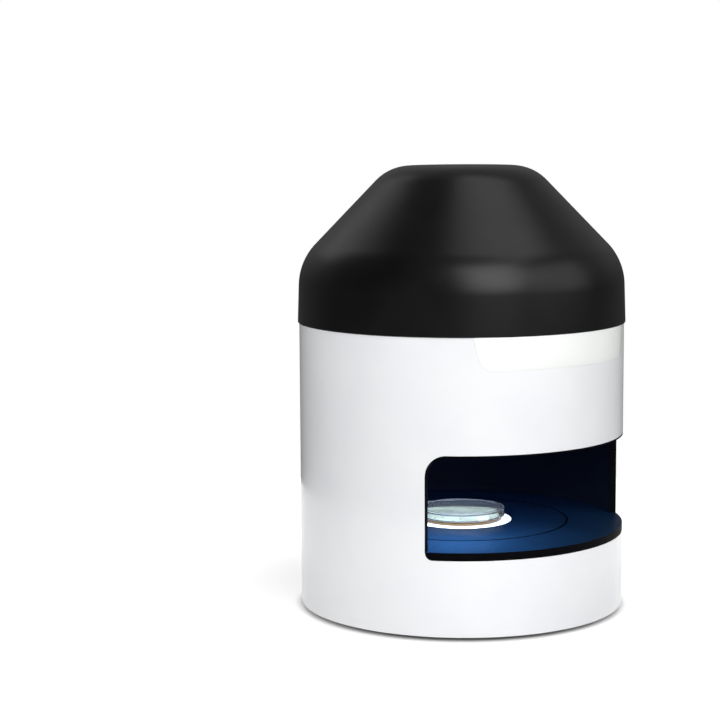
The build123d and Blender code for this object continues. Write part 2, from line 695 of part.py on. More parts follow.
def focus_tube():
    """The front tube that the focus ring drives along the axis, with its hood."""
    outer = BARREL_BORE - RUNNING_FIT
    sleeve = disc(outer, HOOD_LOW, HOOD_TOP + FOCUS_TUBE_LENGTH)
    hood = disc(HOOD_RADIUS, HOOD_LOW, HOOD_TOP)
    hood = chamfer(hood.edges().filter_by(GeomType.CIRCLE).group_by(Axis.Z)[0], 1)
    bore = hole(outer - FOCUS_TUBE_WALL, HOOD_LOW, HOOD_TOP + FOCUS_TUBE_LENGTH)
    mouth = turned((0, HOOD_LOW), (HOOD_RADIUS - 2, HOOD_LOW), (outer, HOOD_LOW + HOOD_LENGTH / 2),
                   (0, HOOD_LOW + HOOD_LENGTH / 2))
    return sleeve + hood - bore - mouth


def glass(radius, middle, thickness):
    """A biconvex glass: two spheres overlap and a cylinder grinds the edge flat."""
    bulge = thickness / 4
    curve = (radius * radius + bulge * bulge) / (2 * bulge)
    rise = curve - thickness / 2
    body = Pos(0, 0, middle - rise) * Sphere(curve) & Pos(0, 0, middle + rise) * Sphere(curve)
    return body & disc(radius, middle - thickness, middle + thickness)


def front_glass():
    return glass(BARREL_BORE - RUNNING_FIT - FOCUS_TUBE_WALL, HOOD_LOW + HOOD_LENGTH, GLASS_THICKNESS)


def rear_glass():
    return glass(BARREL_BORE, LENS_TOP - GLASS_THICKNESS, GLASS_THICKNESS)


# ------------------------------------------------------------- base and lower bay
def backlight_standoff_places():
    return [Rot(Z=angle) * Pos(BACKLIGHT_RADIUS - 2 * STANDOFF_RADIUS, 0, 0) for angle in even(4, 45)]


def board_places():
    inset = 2 * BOARD_INSET
    return [Pos(0, BOARD_Y, 0) * p for p in corner_places(BOARD_LENGTH - inset, BOARD_DEPTH - inset, 0)]


def panel_screw_places():
    return [Pos(x, PANEL_BACK - PANEL_FOOT / 2, 0) for x in (-PANEL_FOOT_WIDTH / 3, PANEL_FOOT_WIDTH / 3)]


def base_plate():
    base = disc(SHELL_INNER - BASE_GAP, BASE_LIFT, BASE_TOP)
    clear = Pos(LUG_HOLE_RADIUS, 0, 0) * hole(SCREW_RADIUS + FIT, BASE_LIFT, BASE_TOP)
    base = cut_all(base, turn_copies(clear, LUG_ANGLES))
    tapped = hole(SCREW_RADIUS + SCREW_FIT, BASE_LIFT, BASE_TOP)
    base = cut_all(base, turn_copies(Pos(FOOT_CIRCLE, 0, 0) * tapped, even(FOOT_COUNT, 45)))
    small = hole(SMALL_SCREW_RADIUS + SCREW_FIT, BASE_LIFT, BASE_TOP)
    places = backlight_standoff_places() + board_places() + panel_screw_places()
    base = cut_all(base, [place * small for place in places])
    base = cut_all(base, pillar_holes(PILLAR_STUD_RADIUS + SCREW_FIT, BASE_LIFT, BASE_TOP))
    slot = extrude(SlotOverall(VENT_LENGTH, VENT_WIDTH), BASE_WALL)
    row = FOOT_CIRCLE * 0.6
    middle = (VENT_COUNT - 1) / 2
    vents = [Pos(0, -row + (n - middle) * VENT_PITCH, BASE_LIFT) * slot for n in range(VENT_COUNT)]
    return cut_all(base, vents)


def base_screws():
    one = Pos(LUG_HOLE_RADIUS, 0, BASE_LIFT) * Rot(X=180) * big_screw(BASE_WALL + LUG_HEIGHT * 0.6)
    return turn_copies(one, LUG_ANGLES)


def rubber_feet():
    foot = disc(FOOT_RADIUS, 0, BASE_LIFT)
    foot = chamfer(foot.edges().group_by(Axis.Z)[0], BASE_LIFT * 0.2)
    foot -= disc(SCREW_HEAD + FIT, 0, SCREW_HEAD_HEIGHT + FIT)
    foot -= disc(SCREW_RADIUS + SCREW_FIT, 0, BASE_LIFT)
    return turn_copies(Pos(FOOT_CIRCLE, 0, 0) * foot, even(FOOT_COUNT, 45))


def foot_screws():
    seat = SCREW_HEAD_HEIGHT + FIT
    one = Pos(FOOT_CIRCLE, 0, seat) * Rot(X=180) * big_screw(BASE_TOP - seat)
    return turn_copies(one, even(FOOT_COUNT, 45))


def floor_pillars():
    """Turned pillars between base and floor, with a stud at each end."""
    pillar = disc(PILLAR_RADIUS, BASE_TOP, LINER_FOOT)
    pillar = chamfer(pillar.edges().filter_by(GeomType.CIRCLE), 0.6)
    pillar += disc(PILLAR_STUD_RADIUS, BASE_LIFT, BASE_TOP + 1)
    pillar += disc(PILLAR_STUD_RADIUS, LINER_FOOT - 1, LINER_FOOT + PILLAR_STUD)
    return turn_copies(Pos(PILLAR_CIRCLE, 0, 0) * pillar, even(PILLAR_COUNT))


def backlight_board():
    low = BACKLIGHT_Z - BOARD_WALL
    board = disc(BACKLIGHT_RADIUS, low, BACKLIGHT_Z)
    drill = hole(SMALL_SCREW_RADIUS + FIT, low, BACKLIGHT_Z)
    return cut_all(board, [place * drill for place in backlight_standoff_places()])


def backlight_leds():
    chip = block(LED_SIZE, LED_SIZE, BACKLIGHT_Z, BACKLIGHT_Z + LED_HEIGHT)
    chips = [chip]
    for ring in range(1, LED_RINGS + 1):
        chips += turn_copies(Pos(ring * LED_PITCH, 0, 0) * chip, even(6 * ring))
    return chips


def backlight_reflector():
    """A white cup, open at both ends, from the board up to the underside of the stage."""
    top = SILL - REFLECTOR_GAP
    inner = (WINDOW_RADIUS - WINDOW_LEDGE) - REFLECTOR_FLARE - REFLECTOR_WALL
    flared = inner + REFLECTOR_FLARE
    return turned(
        (inner, BACKLIGHT_Z),
        (inner + REFLECTOR_WALL, BACKLIGHT_Z),
        (flared + REFLECTOR_WALL, top - REFLECTOR_WALL),
        (flared + 4 * REFLECTOR_WALL, top - REFLECTOR_WALL),
        (flared + 4 * REFLECTOR_WALL, top),
        (flared, top),
    )


def standoff(low, high):
    """A round spacer with a tapped hole right through."""
    return disc(STANDOFF_RADIUS, low, high) - hole(SMALL_SCREW_RADIUS + SCREW_FIT, low, high)


def backlight_standoffs():
    one = standoff(BASE_TOP, BACKLIGHT_Z - BOARD_WALL)
    return [place * one for place in backlight_standoff_places()]


def backlight_screws():
    one = Pos(0, 0, BACKLIGHT_Z) * small_screw(BOARD_WALL + SCREW_BITE)
    return [place * one for place in backlight_standoff_places()]


def control_board():
    board = Pos(0, BOARD_Y, 0) * block(BOARD_LENGTH, BOARD_DEPTH, BOARD_Z, BOARD_Z + BOARD_WALL)
    drill = hole(SMALL_SCREW_RADIUS + FIT, BOARD_Z, BOARD_Z + BOARD_WALL)
    return cut_all(board, [place * drill for place in board_places()])


def board_standoffs():
    return [place * standoff(BASE_TOP, BOARD_Z) for place in board_places()]


def board_screws():
    one = Pos(0, 0, BOARD_Z + BOARD_WALL) * small_screw(BOARD_WALL + SCREW_BITE)
    return [place * one for place in board_places()]


def board_chips():
    low = BOARD_Z + BOARD_WALL
    chip = block(CHIP_SIZE, CHIP_SIZE, low, low + CHIP_HEIGHT)
    chip = chamfer(chip.edges().group_by(Axis.Z)[-1], 0.3)
    step = BOARD_LENGTH / 5
    return [Pos(n * step, BOARD_Y - BOARD_DEPTH / 5, 0) * chip for n in (-1, 0, 1)]


def board_capacitors():
    low = BOARD_Z + BOARD_WALL
    can = disc(CAPACITOR_RADIUS, low, low + CAPACITOR_HEIGHT)
    can = fillet(can.edges().group_by(Axis.Z)[-1], 0.8)
    pitch = 3 * CAPACITOR_RADIUS
    middle = (CAPACITOR_COUNT - 1) / 2
    return [Pos((n - middle) * pitch, BOARD_Y + BOARD_DEPTH / 4, 0) * can for n in range(CAPACITOR_COUNT)]


# ---------------------------------------------------------------------- rear panel
def rear_panel():
    """A moulded recess that carries the connections and stands on the base plate."""
    high = PANEL_LOW + PANEL_HEIGHT
    depth = BODY_RADIUS + 5 - PANEL_BACK
    out = Pos(0, PANEL_BACK + depth / 2, 0)
    panel = out * block(PANEL_WIDTH - 2 * FIT, depth, PANEL_LOW + FIT, high - FIT)
    panel &= disc(BODY_RADIUS, PANEL_LOW, high)
    recess = block(PANEL_WIDTH - 2 * PANEL_RIM, depth, PANEL_LOW + PANEL_RIM, high - PANEL_RIM)
    recess = fillet(recess.edges().filter_by(Axis.Y), PANEL_RIM)
    panel -= out * Pos(0, PANEL_WALL, 0) * recess
    leg = Pos(0, PANEL_BACK + PANEL_WALL / 2, 0)
    panel += leg * block(PANEL_FOOT_WIDTH, PANEL_WALL, BASE_TOP, PANEL_LOW + 2 * FIT)
    foot = Pos(0, PANEL_BACK + PANEL_WALL / 2 - PANEL_FOOT / 2, 0)
    panel += foot * block(PANEL_FOOT_WIDTH, PANEL_WALL + PANEL_FOOT, BASE_TOP, BASE_TOP + PANEL_WALL)
    wall = 4 * PANEL_WALL
    switch_hole = Box(SWITCH_WIDTH + FIT, SWITCH_HEIGHT + FIT, wall)
    panel -= facing_back(SWITCH_X, PANEL_Z) * switch_hole
    panel -= facing_back(INLET_X, PANEL_Z) * Cylinder(INLET_RADIUS + FIT, wall)
    panel -= facing_back(SOCKET_X, PANEL_Z) * Box(SOCKET_WIDTH + FIT, SOCKET_HEIGHT + FIT, wall)
    louvre = extrude(SlotOverall(LOUVRE_HEIGHT, LOUVRE_WIDTH, rotation=90), wall, both=True)
    middle = (LOUVRE_COUNT - 1) / 2
    for n in range(LOUVRE_COUNT):
        panel -= facing_back(LOUVRE_X + (n - middle) * LOUVRE_PITCH, PANEL_Z) * louvre
    drill = hole(SMALL_SCREW_RADIUS + FIT, BASE_TOP, BASE_TOP + PANEL_WALL)
    return cut_all(panel, [place * drill for place in panel_screw_places()])


def panel_screws():
    one = Pos(0, 0, BASE_TOP + PANEL_WALL) * small_screw(PANEL_WALL + BASE_WALL)
    return [place * one for place in panel_screw_places()]


def power_inlet():
    """A round direct-current jack with a contact pin in its bore."""
    jack = Cylinder(INLET_RADIUS, INLET_LENGTH, align=(Align.CENTER, Align.CENTER, Align.MAX))
    jack += Cylinder(INLET_RADIUS + 1.6, 1.5, align=(Align.CENTER, Align.CENTER, Align.MIN))
    bore = INLET_LENGTH * 0.6
    jack -= Pos(0, 0, -bore) * Cylinder(INLET_BORE, bore + 2, align=(Align.CENTER, Align.CENTER, Align.MIN))
    pin = Cylinder(INLET_PIN, bore - 0.5, align=(Align.CENTER, Align.CENTER, Align.MIN))
    return facing_back(INLET_X, PANEL_Z) * (jack + Pos(0, 0, -bore - 0.5) * pin)


def data_socket():
    """A square data socket: a metal shell round a contact tongue."""
    shell = Box(SOCKET_WIDTH, SOCKET_HEIGHT, SOCKET_LENGTH)
    room = SOCKET_LENGTH * 0.7
    inside = (SOCKET_WIDTH - 2 * SOCKET_WALL, SOCKET_HEIGHT - 2 * SOCKET_WALL)
    shell -= Pos(0, 0, (SOCKET_LENGTH - room) / 2) * Box(*inside, room)
    tongue = Box(inside[0] * 0.55, inside[1] * 0.35, room - 1)
    shell += Pos(0, 0, (SOCKET_LENGTH - room) / 2 - 1) * tongue
    return facing_back(SOCKET_X, PANEL_Z) * Pos(0, 0, 0.8 - SOCKET_LENGTH / 2) * shell


def switch_frame():
    """The rocker switch's frame, with a pivot hole in each side wall."""
    low = Box(SWITCH_WIDTH, SWITCH_HEIGHT, SWITCH_BODY, align=(Align.CENTER, Align.CENTER, Align.MAX))
    lip = 2 * SWITCH_LIP
    frame = low + Box(SWITCH_WIDTH + lip, SWITCH_HEIGHT + lip, SWITCH_FLANGE,
                      align=(Align.CENTER, Align.CENTER, Align.MIN))
    room = (ROCKER_WIDTH + 2 * FIT, 2 * (ROCKER_HALF + 4 * FIT), SWITCH_BODY)
    frame -= Pos(0, 0, SWITCH_FLANGE + 0.1) * Box(*room, align=(Align.CENTER, Align.CENTER, Align.MAX))
    pivot = Rot(Y=90) * Cylinder(ROCKER_PIVOT_RADIUS + RUNNING_FIT, ROCKER_WIDTH + 8 * FIT)
    return facing_back(SWITCH_X, PANEL_Z) * (frame - Pos(0, 0, -ROCKER_DEPTH) * pivot)


def power_rocker():
    """The rocker, tipped to its off side, on a pin that turns in the frame."""
    face = ROCKER_DEPTH + SWITCH_FLANGE
    rise = ROCKER_HALF * sin(radians(ROCKER_TILT)) / cos(radians(ROCKER_TILT))
    outline = Polyline(
        (-ROCKER_HALF, face + rise),
        (0, face),
        (ROCKER_HALF, face + rise),
        (ROCKER_HALF, 0),
        (ROCKER_HALF * 0.6, -ROCKER_HALF * 0.5),
        (-ROCKER_HALF * 0.6, -ROCKER_HALF * 0.5),
        (-ROCKER_HALF, 0),
        close=True,
    )
    body = extrude(Plane.YZ * make_face(outline), ROCKER_WIDTH / 2, both=True)
    body += Rot(Y=90) * Cylinder(ROCKER_PIVOT_RADIUS, ROCKER_WIDTH + 6 * FIT)
    return facing_back(SWITCH_X, PANEL_Z) * Pos(0, 0, -ROCKER_DEPTH) * Rot(X=-ROCKER_TILT) * body


# --------------------------------------------------------------------------- dish
def dish_base():
    cup = disc(DISH_RADIUS, DISH_LOW, DISH_TOP)
    cup = fillet(cup.edges().group_by(Axis.Z)[0], DISH_WALL * 0.8)
    return cup - disc(DISH_RADIUS - DISH_WALL, DISH_FLOOR, DISH_TOP)


def dish_agar():
    return disc(DISH_RADIUS - DISH_WALL - SCREW_FIT, DISH_FLOOR, DISH_FLOOR + AGAR_DEPTH)


def dish_lid():
    """A vented lid: three nubs keep it off the base's rim, and a low ring lets dishes stack."""
    inner = LID_RADIUS - DISH_WALL
    lid = disc(LID_RADIUS, LID_TOP - LID_SKIRT, LID_TOP)
    lid = fillet(lid.edges().group_by(Axis.Z)[-1], DISH_WALL * 0.6)
    lid -= disc(inner, LID_TOP - LID_SKIRT, LID_UNDER)
    stack = DISH_RADIUS - 2 * DISH_WALL
    lid += tube(stack, stack - DISH_WALL, LID_TOP - DISH_WALL / 2, LID_TOP + STACK_RING)
    nub = Pos(DISH_RADIUS - DISH_WALL / 2, 0, 0) * block(2 * DISH_WALL, 2 * DISH_WALL, DISH_TOP, LID_TOP - DISH_WALL / 2)
    return fuse_all(lid, turn_copies(nub, even(3, 90)))


# --------------------------------------------------------------------------- write
def main():
    os.makedirs("parts", exist_ok=True)
    save("body_shell", body_shell())
    save("opening_trim", opening_trim())
    save("badge_tab", badge_tab())
    save("dome_cover", dome_cover())
    save("dome_screws", *dome_screws())
    save("chamber_liner", chamber_liner())
    save("chamber_floor", chamber_floor())
    save("stage_plate", stage_plate())
    save("stage_diffuser", stage_diffuser())
    save("ceiling_plate", ceiling_plate())
    save("ceiling_screws", *ceiling_screws())
    save("ring_light_diffuser", ring_light_diffuser())
    save("ring_light_board", ring_light_board())
    save("ring_light_leds", *ring_light_leds())
    save("ring_light_screws", *ring_light_screws())
    save("light_baffle", light_baffle())
    save("baffle_screws", *baffle_screws())
    save("camera_posts", *camera_posts())
    save("camera_plate", camera_plate())
    save("camera_plate_screws", *camera_plate_screws())
    save("camera_body", camera_body())
    save("camera_socket", camera_socket())
    save("camera_screws", *camera_screws())
    save("lens_barrel", lens_barrel())
    save("iris_ring", iris_ring())
    save("iris_lock_screw", lock_screw(IRIS_RING_RADIUS, IRIS_LOW, IRIS_TOP))
    save("focus_ring", focus_ring())
    save("focus_lock_screw", lock_screw(FOCUS_RING_RADIUS, FOCUS_LOW, COLLAR_LOW))
    save("focus_tube", focus_tube())
    save("front_glass", front_glass())
    save("rear_glass", rear_glass())
    save("base_plate", base_plate())
    save("base_screws", *base_screws())
    save("rubber_feet", *rubber_feet())
    save("foot_screws", *foot_screws())
    save("floor_pillars", *floor_pillars())
    save("backlight_board", backlight_board())
    save("backlight_leds", *backlight_leds())
    save("backlight_reflector", backlight_reflector())
    save("backlight_standoffs", *backlight_standoffs())
    save("backlight_screws", *backlight_screws())
    save("control_board", control_board())
    save("board_standoffs", *board_standoffs())
    save("board_screws", *board_screws())
    save("board_chips", *board_chips())
    save("board_capacitors", *board_capacitors())
    save("rear_panel", rear_panel())
    save("panel_screws", *panel_screws())
    save("power_inlet", power_inlet())
    save("data_socket", data_socket())
    save("switch_frame", switch_frame())
    save("power_rocker", power_rocker())
    save("dish_base", dish_base())
    save("dish_agar", dish_agar())
    save("dish_lid", dish_lid())


main()
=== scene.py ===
import math
import random

import bmesh
import bpy
from bpy.props import FloatProperty, FloatVectorProperty, IntProperty, PointerProperty
from mathutils import Matrix, Vector


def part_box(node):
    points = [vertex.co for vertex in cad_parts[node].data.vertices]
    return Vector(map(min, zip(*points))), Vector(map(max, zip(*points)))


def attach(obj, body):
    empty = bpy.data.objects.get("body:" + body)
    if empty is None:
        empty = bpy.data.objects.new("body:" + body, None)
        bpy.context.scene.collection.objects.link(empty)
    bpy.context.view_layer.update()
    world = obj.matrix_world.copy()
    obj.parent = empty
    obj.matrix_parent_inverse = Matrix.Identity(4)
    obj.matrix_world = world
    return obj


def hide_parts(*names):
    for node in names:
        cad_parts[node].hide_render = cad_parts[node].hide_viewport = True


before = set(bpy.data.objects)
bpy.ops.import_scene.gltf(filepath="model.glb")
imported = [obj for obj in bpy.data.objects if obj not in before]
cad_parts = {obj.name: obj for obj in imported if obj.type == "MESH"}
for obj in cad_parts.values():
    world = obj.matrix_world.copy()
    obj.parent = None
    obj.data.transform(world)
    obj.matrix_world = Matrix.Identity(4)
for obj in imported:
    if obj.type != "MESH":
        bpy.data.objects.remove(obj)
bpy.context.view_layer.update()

bl_info = {
    "name": "Colony counter",
    "version": (1, 0, 0),
    "blender": (4, 5, 0),
    "location": "View3D > Sidebar > Colony counter",
    "description": "Builds the finished surfaces of a round bench colony counter",
    "category": "Add Mesh",
}

MM = 0.001
SHELL_LOW, SHELL_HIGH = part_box("body_shell")
DOME_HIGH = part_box("dome_cover")[1]
TAB_LOW, TAB_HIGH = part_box("badge_tab")
EDGING_LOW, EDGING_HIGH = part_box("opening_trim")
STAGE_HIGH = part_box("stage_plate")[1]
WINDOW_LOW, WINDOW_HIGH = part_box("stage_diffuser")
DISH_LOW, DISH_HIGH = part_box("dish_base")
GEL_LOW, GEL_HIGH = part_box("dish_agar")
LID_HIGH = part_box("dish_lid")[1]
PATH_RADIUS = 0.05  # radius of the circle that sections are turned on
CAD_JOIN = 2e-6  # points of a CAD mesh closer than this are one


# ---------------------------------------------------------------- colours and nodes
def linear(hex_colour):
    """An sRGB hex colour, such as "#1A2B3C", as linear red, green, blue and alpha."""
    parts = [int(hex_colour[i : i + 2], 16) / 255 for i in (1, 3, 5)]
    return tuple(p / 12.92 if p <= 0.04045 else ((p + 0.055) / 1.055) ** 2.4 for p in parts) + (1.0,)


def add_node(tree, kind, settings=None, links=None):
    """Adds one node. A link's value is an output socket, or a plain value for the input."""
    made = tree.nodes.new(kind)
    for name, value in (settings or {}).items():
        setattr(made, name, value)
    for name, value in (links or {}).items():
        if isinstance(value, bpy.types.NodeSocket):
            tree.links.new(value, made.inputs[name])
        else:
            made.inputs[name].default_value = value
    return made


def coordinates(tree, kind="Object"):
    """Texture coordinates, as an output socket."""
    return add_node(tree, "ShaderNodeTexCoord").outputs[kind]


def calculate(tree, operation, *values, kind="ShaderNodeMath", output="Value"):
    """One step of arithmetic on sockets or plain values, as an output socket."""
    return add_node(tree, kind, {"operation": operation}, dict(enumerate(values))).outputs[output]


def measure(tree, operation, *vectors):
    """A number worked out from vectors, as an output socket."""
    return calculate(tree, operation, *vectors, kind="ShaderNodeVectorMath")


def map_range(tree, value, low, high, to_low=0.0, to_high=1.0, curve="LINEAR"):
    """A value carried from one range to another, as an output socket."""
    links = {"Value": value, "From Min": low, "From Max": high, "To Min": to_low, "To Max": to_high}
    return add_node(tree, "ShaderNodeMapRange", {"interpolation_type": curve}, links).outputs["Result"]


def blend_colours(tree, factor, first, second):
    """Two colours blended by a factor, as an output socket."""
    links = {0: factor, 6: linear(first), 7: linear(second)}
    return add_node(tree, "ShaderNodeMix", {"data_type": "RGBA"}, links).outputs[2]


def begin_material(name, values):
    """A material with one Principled shader, whose even values are set on its sockets."""
    material = bpy.data.materials.new(name)
    material.use_nodes = True
    shader = material.node_tree.nodes["Principled BSDF"]
    for socket, value in values.items():
        shader.inputs[socket].default_value = value
    return material, material.node_tree, shader


def grain(tree, period_mm, detail=2.0, roughness=0.5, stretch=(1, 1, 1)):
    """Noise on object coordinates, whose features repeat about every period_mm."""
    scaled = add_node(tree, "ShaderNodeMapping", None, {"Vector": coordinates(tree), "Scale": stretch})
    links = {"Vector": scaled.outputs["Vector"], "Scale": 1000 / period_mm}
    links |= {"Detail": detail, "Roughness": roughness}
    return add_node(tree, "ShaderNodeTexNoise", None, links).outputs["Fac"]


def relief(tree, shader, height, depth_mm, strength=1.0):
    """Bumps the surface by a height from 0 to 1, over depth_mm."""
    links = {"Height": height, "Distance": depth_mm * MM, "Strength": strength}
    bump = add_node(tree, "ShaderNodeBump", None, links)
    tree.links.new(bump.outputs["Normal"], shader.inputs["Normal"])


def vary_colour(tree, shader, mask, dark, light, low=0.3, high=0.7):
    """Blends two close colours over the surface by a mask."""
    ramp = add_node(tree, "ShaderNodeValToRGB", None, {"Fac": mask})
    for element, position, colour in zip(ramp.color_ramp.elements, (low, high), (dark, light)):
        element.position = position
        element.color = linear(colour)
    tree.links.new(ramp.outputs["Color"], shader.inputs["Base Color"])


def vary_roughness(tree, shader, mask, low, high):
    """Spreads the roughness between two values by a mask."""
    tree.links.new(map_range(tree, mask, 0, 1, low, high), shader.inputs["Roughness"])


# ------------------------------------------------------------------------ materials
# Each entry is: the two close colours, the noise that blends them, the noise and range of the
# roughness, the noise and the depth and strength of the relief, and the shader's even values.
# A noise is its period in millimetres and its detail.
FINISHES = {
    # Moulded ABS with a gloss finish: it mirrors softly, with a trace of orange peel.
    "gloss_white_abs": (
        ("#EEEFF2", "#F3F4F6"), (70, 3), ((26, 3), (0.20, 0.28)), ((2.6, 1), (0.006, 0.35)),
        {"IOR": 1.54, "Roughness": 0.24, "Coat Weight": 0.35, "Coat Roughness": 0.08},
    ),
    # Moulded ABS with a fine spark-eroded texture: broad soft highlights on deep black.
    "satin_black_abs": (
        ("#0B0B0C", "#101011"), (40, 3), ((18, 3), (0.31, 0.37)), ((0.9, 2), (0.03, 0.45)),
        {"IOR": 1.54, "Roughness": 0.34},
    ),
    # Cast opal acrylic, polished, with a faint painted glow that makes it look brighter than the wall.
    "milky_acrylic": (
        ("#F3F6F3", "#F7F9F7"), (30, 2), None, None,
        {
            "IOR": 1.49, "Roughness": 0.12, "Coat Weight": 0.5, "Coat Roughness": 0.04,
            # the emission is a painted glow: the tab is no lamp
            "Emission Color": linear("#FBFFFB"), "Emission Strength": 0.05,
        },
    ),
    # Matt black moulding that swallows stray light, with a fine even texture.
    "matt_black_lining": (
        ("#10141D", "#131823"), (25, 3), None, ((0.8, 2), (0.04, 0.5)),
        {"IOR": 1.5, "Roughness": 0.62, "Specular IOR Level": 0.05},
    ),
    # Black moulded edging, dull, with soft wear marks along it.
    "black_edging": (
        ("#050507", "#08080A"), (12, 3), ((8, 3), (0.45, 0.60)), None,
        {"IOR": 1.52, "Roughness": 0.45, "Specular IOR Level": 0.02},
    ),
    # Satin blue-black enamel with faint wiping marks: deep blue where light falls on it.
    "blue_black_deck": (
        ("#0C2135", "#0F263D"), (60, 2), ((5, 4, 0.6, (0.25, 1.0, 1.0)), (0.34, 0.46)), None,
        {"IOR": 1.5, "Roughness": 0.40, "Specular IOR Level": 0.2},
    ),
    # Opal acrylic lit from below: an even cool white.
    "lit_opal_window": (
        ("#F2F8FB", "#F2F8FB"), None, None, ((1.2, 1), (0.01, 0.3)),
        {"IOR": 1.49, "Roughness": 0.25, "Emission Color": linear("#F1FBFF"), "Emission Strength": 1.25},
    ),
    # Opal trough of the ring light, with a dim blue glow.
    "lit_opal_ring": (
        ("#DCE4EE", "#DCE4EE"), None, None, ((1.0, 1), (0.01, 0.3)),
        {"IOR": 1.49, "Roughness": 0.35, "Emission Color": linear("#3C7BFF"), "Emission Strength": 1.4},
    ),
    # The clear moulding of the dish under a film of condensation, which veils what lies behind it.
    "misted_polystyrene": (
        ("#F1F4F6", "#F1F4F6"), None, None, ((9, 1), (0.02, 0.15)),
        {"IOR": 1.59, "Roughness": 0.04, "Transmission Weight": 0.93},
    ),
    # Bacterial colonies: small moist cream domes, with a painted glow that stands in for the light from below
    # shining through them.
    "colony_cream": (
        ("#6E6A5A", "#7C7868"), (3, 1), None, None,
        # the emission is a painted glow: the colonies are no lamp
        {"IOR": 1.36, "Roughness": 0.25, "Emission Color": linear("#F1E9CF"), "Emission Strength": 0.4},
    ),
    # Moulded rear panel with a coarser spark-eroded texture.
    "textured_black_moulding": (
        ("#121214", "#18181A"), (15, 3), None, ((0.7, 3), (0.05, 0.6)), {"IOR": 1.52, "Roughness": 0.5},
    ),
    # Polished black nylon of the switch and jack.
    "glossy_black_moulding": (
        ("#0B0B0C", "#111113"), (6, 2), ((3, 3), (0.14, 0.26)), None, {"IOR": 1.53, "Roughness": 0.18},
    ),
    # Powder-coated sheet steel: fine pebbled relief, low sheen.
    "grey_powder_coat": (
        ("#33353A", "#3A3C41"), (20, 3), None, ((0.8, 1), (0.06, 0.6)), {"IOR": 1.5, "Roughness": 0.5},
    ),
    # Soft black rubber: dull, with dust in its pores.
    "black_rubber": (
        ("#141414", "#222221"), (4, 4), None, ((0.6, 3), (0.05, 0.6)), {"IOR": 1.5, "Roughness": 0.8},
    ),
    # Zinc-plated screws: bright, with fine turning marks.
    "plated_steel": (
        ("#B9BBBE", "#CDCED0"), (2, 3), ((0.8, 3), (0.22, 0.38)), None, {"Metallic": 1.0, "Roughness": 0.3},
    ),
    # Blackened steel screws.
    "blackened_steel": (
        ("#161617", "#222224"), (2, 3), ((1, 3), (0.3, 0.46)), None, {"Metallic": 0.6, "Roughness": 0.38},
    ),
    # Turned aluminium: fine rings round the axis, satin.
    "turned_aluminium": (
        ("#B4B6B9", "#C4C6C8"), (0.8, 2, 0.5, (0.05, 0.05, 1)), None,
        ((0.5, 1, 0.5, (0.02, 0.02, 1)), (0.01, 0.3)), {"Metallic": 1.0, "Roughness": 0.32},
    ),
    # Black anodised aluminium: dark, even, slightly metallic sheen.
    "black_anodised": (
        ("#111113", "#18181B"), (3, 3), ((1.2, 3), (0.3, 0.44)), None, {"Metallic": 0.7, "Roughness": 0.36},
    ),
    # Turned brass spacers and lock screws.
    "turned_brass": (("#B08D4C", "#C7A560"), (2, 3), None, None, {"Metallic": 1.0, "Roughness": 0.3}),
    # Nickel-plated socket shells.
    "bright_nickel": (
        ("#B7B6B1", "#CBCAC5"), (3, 2), ((1.5, 3), (0.15, 0.3)), None, {"Metallic": 1.0, "Roughness": 0.2},
    ),
    # Circuit board: green lacquer over copper tracks.
    "green_solder_mask": (
        ("#0B4A2B", "#136238", 0.48, 0.52), (2.2, 1), None, None, {"IOR": 1.5, "Roughness": 0.25},
    ),
    # Surface LED: yellow phosphor under clear epoxy.
    "led_epoxy": (("#EBD98A", "#F6EDBB"), (1.5, 1), None, None, {"IOR": 1.55, "Roughness": 0.2}),
    # Chip packages: dull black epoxy.
    "moulded_epoxy": (("#141414", "#1E1E1E"), (1.5, 3), None, None, {"IOR": 1.5, "Roughness": 0.55}),
    # Optical glass with an anti-reflection coating.
    "coated_lens_glass": (
        ("#E8EEFF", "#E8EEFF"), None, None, ((12, 1), (0.001, 0.1)),
        {"IOR": 1.52, "Roughness": 0.02, "Transmission Weight": 1.0},
    ),
    # Matt white moulding of the light cup.
    "white_reflector": (("#ECECEA", "#F4F4F2"), (10, 2), None, None, {"IOR": 1.5, "Roughness": 0.6}),
}


def plain_finish(name):
    """A material from its entry in the table above."""
    colours, blend, sheen, bumps, values = FINISHES[name]
    material, tree, shader = begin_material(name, values)
    if blend:
        vary_colour(tree, shader, grain(tree, *blend), *colours)
    else:
        shader.inputs["Base Color"].default_value = linear(colours[0])
    if sheen:
        vary_roughness(tree, shader, grain(tree, *sheen[0]), *sheen[1])
    if bumps:
        relief(tree, shader, grain(tree, *bumps[0]), *bumps[1])
    return material


def clear_polystyrene():
    """Injection-moulded polystyrene: clear and glossy; the foot of its wall is painted amber and less clear,
    standing in for the gel seen through it.
    """
    material, tree, shader = begin_material("clear_polystyrene", {"IOR": 1.59, "Roughness": 0.03})
    parts = add_node(tree, "ShaderNodeSeparateXYZ", None, {"Vector": coordinates(tree)})
    top, fade = GEL_HIGH.z - 0.8 * MM, 0.6 * MM
    # painted: the amber of the gel showing through is laid on the foot of the wall
    foot = map_range(tree, parts.outputs["Z"], top, top - fade)
    tree.links.new(blend_colours(tree, foot, "#F6FBFA", "#664702"), shader.inputs["Base Color"])
    tree.links.new(map_range(tree, foot, 0, 1, 1.0, 0.15), shader.inputs["Transmission Weight"])
    relief(tree, shader, grain(tree, 9, 1), 0.02, 0.15)
    return material


